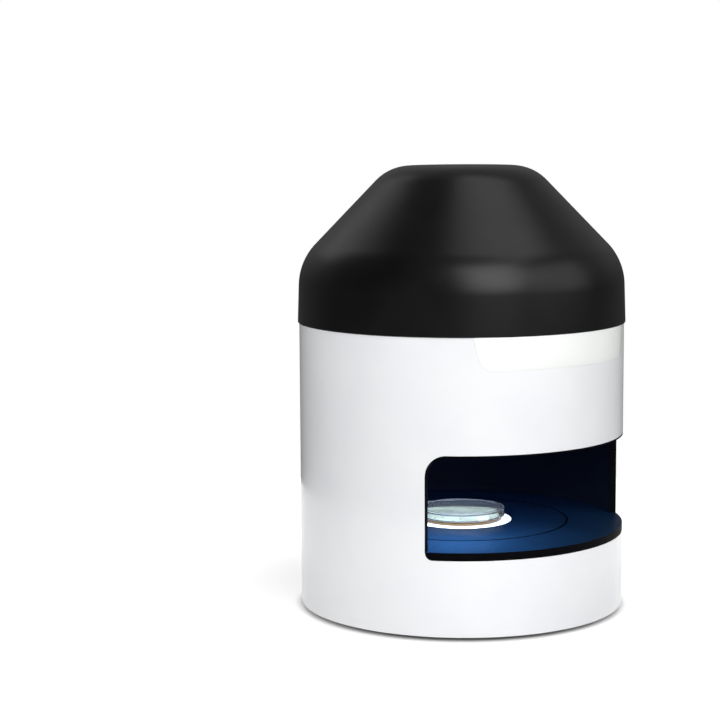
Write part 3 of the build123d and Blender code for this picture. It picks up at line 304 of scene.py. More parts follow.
def amber_gel():
    """Culture gel: moist, amber along its rim; elsewhere a painted pale mint glow in soft patches stands in
    for the light from below.
    """
    material, tree, shader = begin_material("amber_gel", {"IOR": 1.34, "Roughness": 0.12})
    flat_vector = {"kind": "ShaderNodeVectorMath", "output": "Vector"}
    radius = measure(tree, "LENGTH", calculate(tree, "MULTIPLY", coordinates(tree), (1, 1, 0), **flat_vector))
    rim = map_range(tree, radius, 0.0395, 0.0420, curve="SMOOTHSTEP")
    tree.links.new(blend_colours(tree, rim, "#434E49", "#5E4608"), shader.inputs["Base Color"])
    # The emission is a painted glow for the light from below, in soft patches, and none along the rim.
    shader.inputs["Emission Color"].default_value = linear("#DDF3EA")
    painted_glow_patches = map_range(tree, grain(tree, 26, 0), 0, 1, 0.3, 2.0)
    tree.links.new(map_range(tree, rim, 0, 1, painted_glow_patches, 0.0), shader.inputs["Emission Strength"])
    relief(tree, shader, grain(tree, 6, 2), 0.05, 0.2)
    return material


_made = {}


def shared(name, maker, *inputs):
    """A tree or material that is made once and used by several pieces."""
    if name not in _made:
        _made[name] = maker(*inputs)
    return _made[name]


def surface(name):
    """The shared material of that entry of the table."""
    return shared(name, plain_finish, name)


# ----------------------------------------------------------------- kinds of property
def metres(label, description, default):
    """A length."""
    return FloatProperty(name=label, description=description, default=default, unit="LENGTH")


def degrees(label, description, default):
    """An angle, whose default is given in degrees."""
    return FloatProperty(name=label, description=description, default=math.radians(default), subtype="ANGLE")


def watts(label, description, default):
    """The power of a light."""
    return FloatProperty(name=label, description=description, default=default, unit="POWER")


def amount(label, description, default):
    """A brightness, never below nothing."""
    return FloatProperty(name=label, description=description, default=default, min=0)


# ------------------------------------------------------------------------- geometry
def link_new(name, data):
    """A new object at the origin that holds a mesh, a light or a camera."""
    made = bpy.data.objects.new(name, data)
    bpy.context.scene.collection.objects.link(made)
    return made


def plain_mesh(source, name):
    """The evaluated mesh of an object, as a new object with no modifier."""
    depsgraph = bpy.context.evaluated_depsgraph_get()
    mesh = bpy.data.meshes.new_from_object(source.evaluated_get(depsgraph))
    bpy.data.objects.remove(source)
    mesh.name = name
    made = link_new(name, mesh)
    made.modifiers.clear()
    return made


def new_tree(name, inputs):
    """An empty geometry tree with named inputs. Returns it, its start, and their identifiers."""
    tree = bpy.data.node_groups.new(name, "GeometryNodeTree")
    tree.interface.new_socket("Geometry", in_out="INPUT", socket_type="NodeSocketGeometry")
    identifiers = {}
    for label, (kind, value) in inputs.items():
        socket = tree.interface.new_socket(label, in_out="INPUT", socket_type=kind)
        if value is not None:
            socket.default_value = value
        identifiers[label] = socket.identifier
    tree.interface.new_socket("Geometry", in_out="OUTPUT", socket_type="NodeSocketGeometry")
    return tree, add_node(tree, "NodeGroupInput"), identifiers


def end_tree(tree, start, geometry):
    """Closes a tree with Realize Instances and Set Material."""
    real = add_node(tree, "GeometryNodeRealizeInstances", None, {"Geometry": geometry})
    links = {"Geometry": real.outputs["Geometry"], "Material": start.outputs["Material"]}
    finish = add_node(tree, "GeometryNodeSetMaterial", None, links)
    add_node(tree, "NodeGroupOutput", None, {"Geometry": finish.outputs["Geometry"]})


def run_tree(source, tree, identifiers, values, name):
    """Runs a tree on an object with the given inputs, and keeps only the plain result."""
    modifier = source.modifiers.new(tree.name, "NODES")
    modifier.node_group = tree
    for label, value in values.items():
        modifier[identifiers[label]] = value
    return plain_mesh(source, name)


def stored(tree, kind, name):
    """A value that is stored on the points, as an output socket."""
    node = add_node(tree, "GeometryNodeInputNamedAttribute", {"data_type": kind}, {"Name": name})
    return node.outputs["Attribute"]


def turning_tree():
    """Turns a section round the vertical axis, after rounding each of its corners."""
    inputs = {
        "Corner Steps": ("NodeSocketInt", 10),
        "Segments": ("NodeSocketInt", 192),
        "Path Radius": ("NodeSocketFloat", PATH_RADIUS),
        "Material": ("NodeSocketMaterial", None),
    }
    tree, start, identifiers = new_tree("turned_section", inputs)
    section = add_node(tree, "GeometryNodeMeshToCurve", None, {"Mesh": start.outputs["Geometry"]})
    links = {"Curve": section.outputs["Curve"], "Count": start.outputs["Corner Steps"]}
    links |= {"Radius": stored(tree, "FLOAT", "corner_round"), "Limit Radius": True}
    rounded = add_node(tree, "GeometryNodeFilletCurve", {"mode": "POLY"}, links)
    links = {"Resolution": start.outputs["Segments"], "Radius": start.outputs["Path Radius"]}
    circle = add_node(tree, "GeometryNodeCurvePrimitiveCircle", {"mode": "RADIUS"}, links)
    links = {"Curve": circle.outputs["Curve"]}
    upright = add_node(tree, "GeometryNodeSetCurveNormal", {"mode": "Z_UP"}, links)
    links = {"Curve": upright.outputs["Curve"], "Profile Curve": rounded.outputs["Curve"]}
    swept = add_node(tree, "GeometryNodeCurveToMesh", None, links)
    links = {"Geometry": swept.outputs["Mesh"], "Distance": 1e-6}
    merged = add_node(tree, "GeometryNodeMergeByDistance", None, links)
    end_tree(tree, start, merged.outputs["Geometry"])
    return tree, identifiers


def turned(name, section, material, closed=True, segments=192, steps=6):
    """A smooth turned piece from a section of (radius, height, corner round) in millimetres."""
    tree, identifiers = shared("turning", turning_tree)
    points = [(r * MM - PATH_RADIUS, -z * MM, 0) for r, z, _ in section]
    edges = [(i, i + 1) for i in range(len(points) - 1)]
    if closed:
        edges.append((len(points) - 1, 0))
    mesh = bpy.data.meshes.new(name)
    mesh.from_pydata(points, edges, [])
    rounds = mesh.attributes.new("corner_round", "FLOAT", "POINT")
    rounds.data.foreach_set("value", [round_mm * MM for _, _, round_mm in section])
    values = {"Corner Steps": steps, "Segments": segments, "Path Radius": PATH_RADIUS, "Material": material}
    piece = run_tree(link_new(name, mesh), tree, identifiers, values, name)
    face_out(piece)
    return piece


def repeat_tree():
    """Puts one copy of an object on each point, turned to the point's own direction."""
    inputs = {
        "Piece": ("NodeSocketObject", None),
        "Size Spread": ("NodeSocketFloat", 0.0),
        "Seed": ("NodeSocketInt", 0),
        "Material": ("NodeSocketMaterial", None),
    }
    tree, start, identifiers = new_tree("repeated_piece", inputs)
    piece = add_node(tree, "GeometryNodeObjectInfo", None, {"Object": start.outputs["Piece"]})
    links = {"Vector": stored(tree, "FLOAT_VECTOR", "facing")}
    turn = add_node(tree, "FunctionNodeAlignRotationToVector", {"axis": "Z"}, links)
    lowest = calculate(tree, "SUBTRACT", 1.0, start.outputs["Size Spread"])
    links = {2: lowest, 3: 1.0, "Seed": start.outputs["Seed"]}
    size = add_node(tree, "FunctionNodeRandomValue", {"data_type": "FLOAT"}, links)
    links = {"Points": start.outputs["Geometry"], "Instance": piece.outputs["Geometry"]}
    links |= {"Rotation": turn.outputs["Rotation"], "Scale": size.outputs[1]}
    placed = add_node(tree, "GeometryNodeInstanceOnPoints", None, links)
    end_tree(tree, start, placed.outputs["Instances"])
    return tree, identifiers


def repeated(name, piece, places, material, spread=0.0, seed=1):
    """One mesh with a copy of a piece at each (place, direction), places in millimetres."""
    tree, identifiers = shared("repeat", repeat_tree)
    mesh = bpy.data.meshes.new(name)
    mesh.from_pydata([Vector(place) * MM for place, _ in places], [], [])
    facing = mesh.attributes.new("facing", "FLOAT_VECTOR", "POINT")
    facing.data.foreach_set("vector", [c for _, direction in places for c in direction])
    values = {"Piece": piece, "Size Spread": spread, "Seed": seed, "Material": material}
    result = run_tree(link_new(name, mesh), tree, identifiers, values, name)
    bpy.data.objects.remove(piece)
    return result


def open_mesh(mesh, reach):
    """A mesh opened for work, with its points merged that lie within reach of each other."""
    work = bmesh.new()
    work.from_mesh(mesh)
    bmesh.ops.remove_doubles(work, verts=work.verts, dist=reach)
    return work


def face_out(piece):
    """Merges doubles, points all faces outwards and shades them smooth."""
    work = open_mesh(piece.data, 1e-6)
    bmesh.ops.dissolve_degenerate(work, edges=work.edges, dist=1e-7)
    bmesh.ops.recalc_face_normals(work, faces=work.faces)
    for face in work.faces:
        face.smooth = True
    work.to_mesh(piece.data)
    work.free()
    piece.data.set_sharp_from_angle(angle=math.radians(32))


def skin(name, points, faces, material):
    """A smooth piece from points and faces."""
    mesh = bpy.data.meshes.new(name)
    mesh.from_pydata(points, [], faces)
    mesh.materials.append(material)
    piece = link_new(name, mesh)
    face_out(piece)
    return piece


def finish_piece(piece, body, slot, *nodes):
    """Rides a piece on its body and lets it stand for its CAD nodes."""
    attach(piece, body)
    if nodes:
        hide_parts(*nodes)


def dress(finish, *nodes):
    """Gives CAD nodes a material of the table in their own slots."""
    material = surface(finish)
    for name in nodes:
        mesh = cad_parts[name].data
        if not mesh.materials:
            mesh.materials.append(material)
        for slot in range(len(mesh.materials)):
            mesh.materials[slot] = material


def merged_copy(node, name, material):
    """A smooth-shaded copy of a CAD node, with its loose triangles merged."""
    piece = link_new(name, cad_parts[node].data.copy())
    piece.data.materials.clear()
    piece.data.materials.append(material)
    if "custom_normal" in piece.data.attributes:
        piece.data.attributes.remove(piece.data.attributes["custom_normal"])
    work = open_mesh(piece.data, CAD_JOIN)
    for face in work.faces:
        face.smooth = max(abs(part) for part in face.normal) < 0.99999
        face.material_index = 0
    work.to_mesh(piece.data)
    work.free()
    piece.data.set_sharp_from_angle(angle=math.radians(28))
    return piece


def soften(piece, width):
    """A small live bevel along the sharp edges."""
    bevel = piece.modifiers.new("edge_round", "BEVEL")
    bevel.width = width
    bevel.segments = 3
    bevel.limit_method = "ANGLE"
    bevel.angle_limit = math.radians(50)
    bevel.harden_normals = True


# ---------------------------------------------------------------------- body shell
def corner_rise(distance, corner):
    """How far a rounded corner has risen at a distance into its width."""
    inside = max(0.0, min(1.0, distance / corner))
    return corner * (1 - math.sqrt(max(0.0, 1 - inside * inside)))


def opening_edge(s, along):
    """The lower and upper edge of the opening at a distance along the wall from its middle."""
    half = s.opening_half_angle * s.radius
    low_corner, high_corner = s.lower_corner, s.upper_corner
    low = s.sill + corner_rise(abs(along) - (half - low_corner), low_corner)
    high = s.opening_top - corner_rise(abs(along) - (half - high_corner), high_corner)
    return low, high


def opening_columns(s):
    """Distances along the wall, closer together where the corners turn."""
    half = s.opening_half_angle * s.radius
    spots = {half}
    for corner, steps in ((s.lower_corner, 8), (s.upper_corner, 14)):
        for step in range(steps):
            spots.add(half - corner + corner * math.sin(math.pi / 2 * step / steps))
    plain, count = half - s.upper_corner, 40
    spots.update(plain * step / count for step in range(count))
    ordered = []
    for spot in sorted(spots):
        if not ordered or spot - ordered[-1] > 0.15 * MM:
            ordered.append(spot)
    ordered[-1] = half
    return [-spot for spot in reversed(ordered) if spot > 0] + ordered


SIDE_COLUMNS, REAR_COLUMNS, REAR_ROWS = 44, 16, 4  # faces from opening to cut-out, and over the cut-out


def shell_sheet(s):
    """The outer skin of the body as quads, open where the opening is."""
    half_angle = s.opening_half_angle
    inner = [a / s.radius for a in opening_columns(s)]
    cut = math.asin(s.rear_width / 2 / s.radius)
    side = math.pi - cut - half_angle
    outside = [half_angle + side * i / SIDE_COLUMNS for i in range(1, SIDE_COLUMNS + 1)]
    outside += [math.pi - cut + 2 * cut * i / REAR_COLUMNS for i in range(1, REAR_COLUMNS + 1)]
    outside += [math.pi + cut + side * i / SIDE_COLUMNS for i in range(1, SIDE_COLUMNS)]
    middle_rows, high_rows = 12, 14
    edge_low, edge_high = opening_edge(s, half_angle * s.radius)
    cut_low, cut_high = s.rear_low, s.rear_low + s.rear_height
    heights = [s.bottom, (s.bottom + cut_low) / 2, cut_low]
    first = len(heights) - 1
    heights += [cut_low + s.rear_height * i / REAR_ROWS for i in range(1, REAR_ROWS + 1)]
    heights += [(cut_high + edge_low) / 2, edge_low]
    shares = [(z - s.bottom) / (edge_low - s.bottom) for z in heights]
    low_rows = len(shares) - 1
    points, columns = [], []

    def stack(theta, low, high, solid):
        column = [s.bottom + (low - s.bottom) * share for share in shares]
        if solid:
            column += [low + (high - low) * i / middle_rows for i in range(1, middle_rows)]
        column += [high + (s.top - high) * i / high_rows for i in range(high_rows + 1)]
        base = len(points)
        points.extend((math.sin(theta) * s.radius, -math.cos(theta) * s.radius, z) for z in column)
        rows = [base + i for i in range(len(column))]
        if not solid:
            rows = rows[: low_rows + 1] + [None] * (middle_rows - 1) + rows[low_rows + 1 :]
        columns.append(rows)

    for theta in inner:
        low, high = opening_edge(s, theta * s.radius)
        stack(theta, low, high, abs(abs(theta) - half_angle) < 1e-6)
    for theta in outside:
        stack(theta, edge_low, edge_high, True)
    faces = []
    for i, column in enumerate(columns):
        beside = columns[(i + 1) % len(columns)]
        for row in range(len(column) - 1):
            corners = (column[row], beside[row], beside[row + 1], column[row + 1])
            bridged = row >= low_rows and row < low_rows + middle_rows
            behind = 0 <= i - len(inner) + 1 - SIDE_COLUMNS < REAR_COLUMNS and 0 <= row - first < REAR_ROWS
            if None not in corners and not behind and not (bridged and i < len(inner) - 1):
                faces.append(corners)
    return points, faces


class ShellSettings(bpy.types.PropertyGroup):
    """Sizes and colours of the white body."""

    radius: metres("Radius", "Outer radius of the body", SHELL_HIGH.x)
    wall: metres("Wall", "Thickness of the moulded wall", 0.0035)
    bottom: metres("Bottom", "Height of the lower edge", SHELL_LOW.z)
    top: metres("Top", "Height of the upper edge", SHELL_HIGH.z)
    sill: metres("Sill", "Height of the opening's lower edge", EDGING_LOW.z)
    opening_top: metres("Opening top", "Height of the opening's upper edge", EDGING_HIGH.z)
    opening_half_angle: FloatProperty(
        name="Half opening",
        description="Angle from the middle of the opening to its end",
        default=math.asin(EDGING_HIGH.x / SHELL_HIGH.x),
        subtype="ANGLE",
    )
    lower_corner: metres("Lower corner", "Radius of the lower corners", 0.0075)
    upper_corner: metres("Upper corner", "Radius of the upper corners", 0.021)
    rear_width: metres("Rear width", "Width of the cut-out for the rear panel", 0.104)
    rear_low: metres("Rear low", "Height of its lower edge", 0.024)
    rear_height: metres("Rear height", "Height of the cut-out", 0.040)
    edge_round: metres("Edge round", "Round on the edges", 0.0006)


class COUNTER_OT_body_shell(bpy.types.Operator):
    """Moulds the glossy white body with its wrap-round opening"""

    bl_idname = "counter.body_shell"
    bl_label = "Body shell"

    def execute(self, context):
        s = context.scene.counter_shell
        shell = skin("body_shell_skin", *shell_sheet(s), surface("gloss_white_abs"))
        wall = shell.modifiers.new("wall", "SOLIDIFY")
        wall.thickness = s.wall
        wall.offset = -1
        shell = plain_mesh(shell, "body_shell_skin")
        self.square_up(shell, s)
        face_out(shell)
        soften(shell, s.edge_round)
        finish_piece(shell, "cabinet", "shell_white", "body_shell")
        return {"FINISHED"}

    def square_up(self, shell, s):
        """Turns the inner edges beside the rear cut-out until its walls run straight in."""
        half = s.rear_width / 2
        inside = s.radius - s.wall
        for vertex in shell.data.vertices:
            here = vertex.co
            on_inside = abs(math.hypot(here.x, here.y) - inside) < 1e-5
            beside_cut = abs(abs(here.x) - half * inside / s.radius) < 1e-5
            if here.y > 0 and on_inside and beside_cut:
                here.y = math.sqrt(inside**2 - half**2)
                here.x = math.copysign(half, here.x)


# ----------------------------------------------------------------------------- dome
class DomeSettings(bpy.types.PropertyGroup):
    """Sizes of the black dome."""

    rim_radius: metres("Rim radius", "Radius at the lower rim", DOME_HIGH.x)
    base: metres("Base", "Height of the rim", SHELL_HIGH.z)
    top: metres("Top", "Height of the crown", DOME_HIGH.z)
    shoulder: metres("Shoulder", "From the rim to where cone and skirt would meet", 0.0635)
    cone_angle: degrees("Cone angle", "Slope of the cone from the vertical", 44)
    draft: degrees("Draft", "Slope of the skirt from the vertical", 1.9)
    shoulder_round: metres("Shoulder round", "Radius of the shoulder", 0.063)
    crown_round: metres("Crown round", "Radius of the crown", 0.050)
    wall: metres("Wall", "Thickness of the wall", 0.0035)


class COUNTER_OT_dome(bpy.types.Operator):
    """Turns the satin black dome from its section"""

    bl_idname = "counter.dome"
    bl_label = "Dome"

    def execute(self, context):
        s = context.scene.counter_dome
        wall, edge = s.wall / MM, 0.5
        rim, base = s.rim_radius / MM, s.base / MM
        top, shoulder_z = s.top / MM, base + s.shoulder / MM
        shoulder = rim - s.shoulder / MM * math.tan(s.draft)
        crown = shoulder - (top - shoulder_z) * math.tan(s.cone_angle)
        shift = wall * math.tan((math.pi / 2 - s.cone_angle) / 2)
        section = [
            (0, top, 0),
            (crown, top, s.crown_round / MM),
            (shoulder, shoulder_z, s.shoulder_round / MM),
            (rim, base, edge),
            (rim - wall, base, edge),
            (shoulder - wall, shoulder_z - shift, s.shoulder_round / MM - wall),
            (crown - shift, top - wall, s.crown_round / MM - wall),
            (0, top - wall, 0),
        ]
        dome = turned("dome_cover_skin", section, surface("satin_black_abs"), False, 256, 24)
        finish_piece(dome, "cabinet", "dome_black", "dome_cover")
        return {"FINISHED"}


# ------------------------------------------------------------------ badge and trim
class BadgeSettings(bpy.types.PropertyGroup):
    """Sizes of the bare tab under the dome."""

    radius: metres("Radius", "Radius that the tab lies on", SHELL_HIGH.x)
    low: metres("Low", "Height of the lower edge", TAB_LOW.z)
    high: metres("High", "Height of the upper edge", TAB_HIGH.z)
    width: metres("Width", "Width along the upper edge", 0.214)
    turn: degrees("Turn", "Angle from the middle of the opening", -5)
    lean: degrees("Lean", "How far the ends lean in", 14)
    corner: metres("Corner", "Radius of the lower corners", 0.015)
    thickness: metres("Thickness", "Thickness in the middle", 0.0009)
    crown: metres("Crown", "Width of the domed edge", 0.014)


class COUNTER_OT_badge_and_edging(bpy.types.Operator):
    """Casts the bare milky tab with its domed edge and finishes the black edging"""

    bl_idname = "counter.badge_and_edging"
    bl_label = "Badge tab and edging"

    def execute(self, context):
        tab = skin("badge_tab_skin", *self.tab_sheet(context.scene.counter_badge), surface("milky_acrylic"))
        finish_piece(tab, "cabinet", "badge_milky", "badge_tab")
        trim = merged_copy("opening_trim", "opening_trim_skin", surface("black_edging"))
        finish_piece(trim, "cabinet", "trim_black", "opening_trim")
        return {"FINISHED"}

    def half_width(self, s, z):
        """Half the tab's width at a height, along the wall."""
        lean = math.tan(s.lean)
        centre_z = s.low + s.corner
        if z >= centre_z - s.corner * math.sin(s.lean):
            return s.width / 2 - (s.high - z) * lean
        centre = s.width / 2 - (s.high - centre_z) * lean - s.corner / math.cos(s.lean)
        return centre + math.sqrt(max(0.0, s.corner**2 - (z - centre_z) ** 2))

    def tab_sheet(self, s):
        """Front and back of the tab as quads; the front rises over its domed edge."""
        rows, columns = 24, 120
        tall = s.high - s.low
        front, back = [], []
        for i in range(rows + 1):
            z = s.low + tall * (1 - math.cos(math.pi / 2 * i / rows))
            half = self.half_width(s, z)
            for j in range(columns + 1):
                along = half * math.sin(math.pi / 2 * (2 * j / columns - 1))
                inward = min(1.0, min(half - abs(along), z - s.low) / s.crown)
                rise = s.thickness * (0.25 + 0.75 * math.sqrt(max(0.0, 1 - (1 - inward) ** 2)))
                angle = s.turn + along / s.radius
                for points, radius in ((front, s.radius + rise), (back, s.radius)):
                    points.append((radius * math.sin(angle), -radius * math.cos(angle), z))
        wide, total = columns + 1, len(front)
        faces = []
        for i in range(rows):
            for j in range(columns):
                a = i * wide + j
                quad = (a, a + 1, a + 1 + wide, a + wide)
                faces.append(quad)
                faces.append(tuple(total + k for k in reversed(quad)))
        rim = list(range(wide)) + [i * wide + columns for i in range(1, rows + 1)]
        rim += [rows * wide + j for j in range(columns - 1, -1, -1)]
        rim += [i * wide for i in range(rows - 1, 0, -1)]
        faces += [(b, a, a + total, b + total) for a, b in zip(rim, rim[1:] + rim[:1])]
        return front + back, faces


# -------------------------------------------------------------------------- chamber
class ChamberSettings(bpy.types.PropertyGroup):
    """Sizes of the deck, the stage and its window."""

    deck_top: metres("Deck top", "Height of the deck", STAGE_HIGH.z)
    stage_radius: metres("Stage radius", "Radius of the stage", STAGE_HIGH.x)
    stage_wall: metres("Stage wall", "Thickness of the stage", 0.004)
    window_radius: metres("Window radius", "Radius of the window", WINDOW_HIGH.x)
    window_wall: metres("Window wall", "Thickness of the window", WINDOW_HIGH.z - WINDOW_LOW.z)
    window_glow: amount("Window glow", "Brightness of the window", 1.25)


class COUNTER_OT_chamber(bpy.types.Operator):
    """Finishes the lining, the deck, the stage plate, its lit window and the ring light"""

    bl_idname = "counter.chamber"
    bl_label = "Chamber"

    def execute(self, context):
        s = context.scene.counter_chamber
        enamel = surface("blue_black_deck")
        deck = merged_copy("chamber_floor", "chamber_floor_skin", enamel)
        deck.data.materials.append(surface("black_edging"))
        for face in deck.data.polygons:
            face.material_index = 0 if face.normal.z > 0.9 else 1
        finish_piece(deck, "cabinet", "deck_black", "chamber_floor")
        top, radius = s.deck_top / MM, s.stage_radius / MM
        wall, window = s.stage_wall / MM, s.window_radius / MM
        seat = top - s.window_wall / MM
        ledge, rim, edge = window - 5.0, 3.0, 0.3
        step = radius - 8.5
        low = top - wall - rim
        section = [
            (ledge, low, edge),
            (window + rim, low, edge),
            (window + rim, top - wall, edge),
            (step - rim, top - wall, edge),
            (step - rim, low, edge),
            (step, low, edge),
            (step, top - wall, edge),
            (radius, top - wall, edge),
            (radius, top, 1.0),
            (window, top, 0.25),
            (window, seat, 0.1),
            (ledge, seat, edge),
        ]
        plate = turned("stage_plate_skin", section, enamel, True, 256, 4)
        finish_piece(plate, "stage", "stage_black", "stage_plate")
        # A thin black ring round the stage's edge, proud of the deck: painted shade, for the dark line of
        # shade along that edge.
        sunk, proud, within, without = top - 0.3, top + 0.35, radius - 1.6, radius - 0.2
        band = [(within, sunk, 0), (within, proud, 0.15), (without, proud, 0.15), (without, sunk, 0)]
        shade_ring = turned("stage_seal", band, surface("black_edging"), True, 256, 3)
        finish_piece(shade_ring, "stage", "trim_black")
        glass = surface("lit_opal_window")
        glass.node_tree.nodes["Principled BSDF"].inputs["Emission Strength"].default_value = s.window_glow
        disc = [(0, top, 0), (window - 0.05, top, 0.3), (window - 0.05, seat, 0.3), (0, seat, 0)]
        pane = turned("stage_window_skin", disc, glass, False, 192, 4)
        finish_piece(pane, "stage", "window_opal", "stage_diffuser")
        lining = merged_copy("chamber_liner", "chamber_liner_skin", surface("matt_black_lining"))
        finish_piece(lining, "cabinet", "liner_black", "chamber_liner")
        dress("matt_black_lining", "ceiling_plate", "light_baffle")
        trough = merged_copy("ring_light_diffuser", "ring_light_skin", surface("lit_opal_ring"))
        finish_piece(trough, "cabinet", "opal_light", "ring_light_diffuser")
        return {"FINISHED"}


# ----------------------------------------------------------------------------- dish
class DishSettings(bpy.types.PropertyGroup):
    """Sizes of the culture dish and its colonies."""

    floor: metres("Floor", "Height of the dish's underside", DISH_LOW.z)
    radius: metres("Radius", "Outer radius of the base", DISH_HIGH.x)
    lid_radius: metres("Lid radius", "Outer radius of the lid", LID_HIGH.x)
    height: metres("Height", "Height of the base", DISH_HIGH.z - DISH_LOW.z)
    wall: metres("Wall", "Wall of base and lid", 0.0012)
    skirt: metres("Skirt", "Height of the lid's skirt", 0.008)
    gel_depth: metres("Gel depth", "Depth of the gel", GEL_HIGH.z - GEL_LOW.z)
    colonies: IntProperty(name="Colonies", description="Number of colonies", default=44, min=0)
    seed: IntProperty(name="Seed", description="Seed of the colonies' places", default=7)


class COUNTER_OT_dish(bpy.types.Operator):
    """Moulds the clear dish and its lid, pours the gel and sets the colonies"""

    bl_idname = "counter.dish"
    bl_label = "Culture dish"

    def execute(self, context):
        s = context.scene.counter_dish
        clear = shared("clear", clear_polystyrene)
        low, wall, radius = s.floor / MM, s.wall / MM, s.radius / MM
        top = low + s.height / MM
        inner = radius - wall
        base = [
            (0, low, 0),
            (radius, low, 1.0),
            (radius, top, 0.5),
            (inner, top, 0.5),
            (inner, low + wall, 0.8),
            (0, low + wall, 0),
        ]
        cup = turned("dish_base_skin", base, clear, False, 192, 5)
        finish_piece(cup, "dish", "dish_clear", "dish_base")
        level = low + wall + s.gel_depth / MM
        gel = [
            (0, low + wall + 0.03, 0),
            (inner - 0.15, low + wall + 0.03, 0.8),
            (inner - 0.12, level, 0.15),
            (inner - 2.0, level - 0.35, 1.5),
            (0, level - 0.35, 0),
        ]
        agar = turned("dish_gel_skin", gel, shared("gel", amber_gel), False, 160, 5)
        finish_piece(agar, "dish", "agar", "dish_agar")
        under, skirt = top + 0.4, s.skirt / MM
        lid_top = under + wall
        lid_radius = s.lid_radius / MM
        stack = radius - 2 * wall
        lid = [
            (0, lid_top, 0),
            (stack - wall, lid_top, 0.2),
            (stack - wall, lid_top + 0.6, 0.25),
            (stack, lid_top + 0.6, 0.25),
            (stack, lid_top, 0.2),
            (lid_radius, lid_top, 0.8),
            (lid_radius, lid_top - skirt, 0.5),
            (lid_radius - wall, lid_top - skirt, 0.5),
            (lid_radius - wall, under, 0.4),
            (0, under, 0),
        ]
        cover = turned("dish_lid_skin", lid, surface("misted_polystyrene"), False, 192, 5)
        finish_piece(cover, "lid", "lid_clear", "dish_lid")
        self.grow(s, inner - 4, level - 0.35)
        return {"FINISHED"}

    def grow(self, s, reach, level):
        """Sets colonies over the gel on a sunflower spread, each nudged by the seed."""
        draw = random.Random(s.seed)
        golden_angle = 2.39996
        places = []
        for i in range(s.colonies):
            distance = reach * math.sqrt((i + 0.5) / s.colonies)
            angle = i * golden_angle + draw.uniform(-0.5, 0.5)
            distance = min(reach, distance + draw.uniform(-2.5, 2.5))
            places.append(((distance * math.cos(angle), distance * math.sin(angle), level), (0, 0, 1)))
        section = [(0, 0.55, 0), (0.9, 0.45, 0.5), (1.25, -0.05, 0), (0, -0.05, 0)]
        one = turned("colony", section, surface("colony_cream"), False, 16, 3)
        spread = repeated("dish_colonies", one, places, surface("colony_cream"), 0.45, s.seed)
        finish_piece(spread, "dish", "agar")


# ------------------------------------------------------- screws, feet and rear panel
class HardwareSettings(bpy.types.PropertyGroup):
    """Sizes of the screws and feet that show."""

    head_radius: metres("Head radius", "Radius of a screw head", 0.0038)
    head_height: metres("Head height", "Height of a screw head", 0.0022)
    foot_radius: metres("Foot radius", "Radius of a rubber foot", 0.015)


def screw_head(radius, height, shank_radius, length, material):
    """A button-head screw with a hexagon socket; its head stands on zero and it points down."""
    socket = radius * 0.45
    depth = height * 0.6
    section = [
        (0, height - depth, 0),
        (socket, height - depth, 0),
        (socket, height, 0.1),
        (radius * 0.72, height, 0.6),
        (radius, height * 0.35, 0.4),
        (radius, 0, 0.1),
        (shank_radius, 0, 0),
        (shank_radius, -length, 0.3),
        (0, -length, 0),
    ]
    head = turned("screw_head", section, material, False, 48, 4)
    flats = math.cos(math.pi / 6)
    for vertex in head.data.vertices:
        here = math.hypot(vertex.co.x, vertex.co.y)
        if abs(here - socket * MM) < 2e-5 and vertex.co.z > (height - depth) * MM - 1e-6:
            turn = math.atan2(vertex.co.y, vertex.co.x) % (math.pi / 3) - math.pi / 6
            scale = flats / math.cos(turn)
            vertex.co.x *= scale
            vertex.co.y *= scale
    return head


def node_centres(node, axis, side):
    """Centres of the separate solids of a CAD node, in millimetres, at one end along an axis."""
    work = open_mesh(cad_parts[node].data, CAD_JOIN)
    left = set(work.verts)
    centres = []
    while left:
        group, queue = [], [left.pop()]
        while queue:
            vertex = queue.pop()
            group.append(vertex.co.copy())
            for edge in vertex.link_edges:
                other = edge.other_vert(vertex)
                if other in left:
                    left.remove(other)
                    queue.append(other)
        low = Vector(min(p[i] for p in group) for i in range(3))
        high = Vector(max(p[i] for p in group) for i in range(3))
        centre = (low + high) / 2
        centre[axis] = (low, high)[side][axis]
        centres.append(centre / MM)
    work.free()
    return sorted(centres, key=lambda c: (round(c.x, 2), round(c.y, 2)))


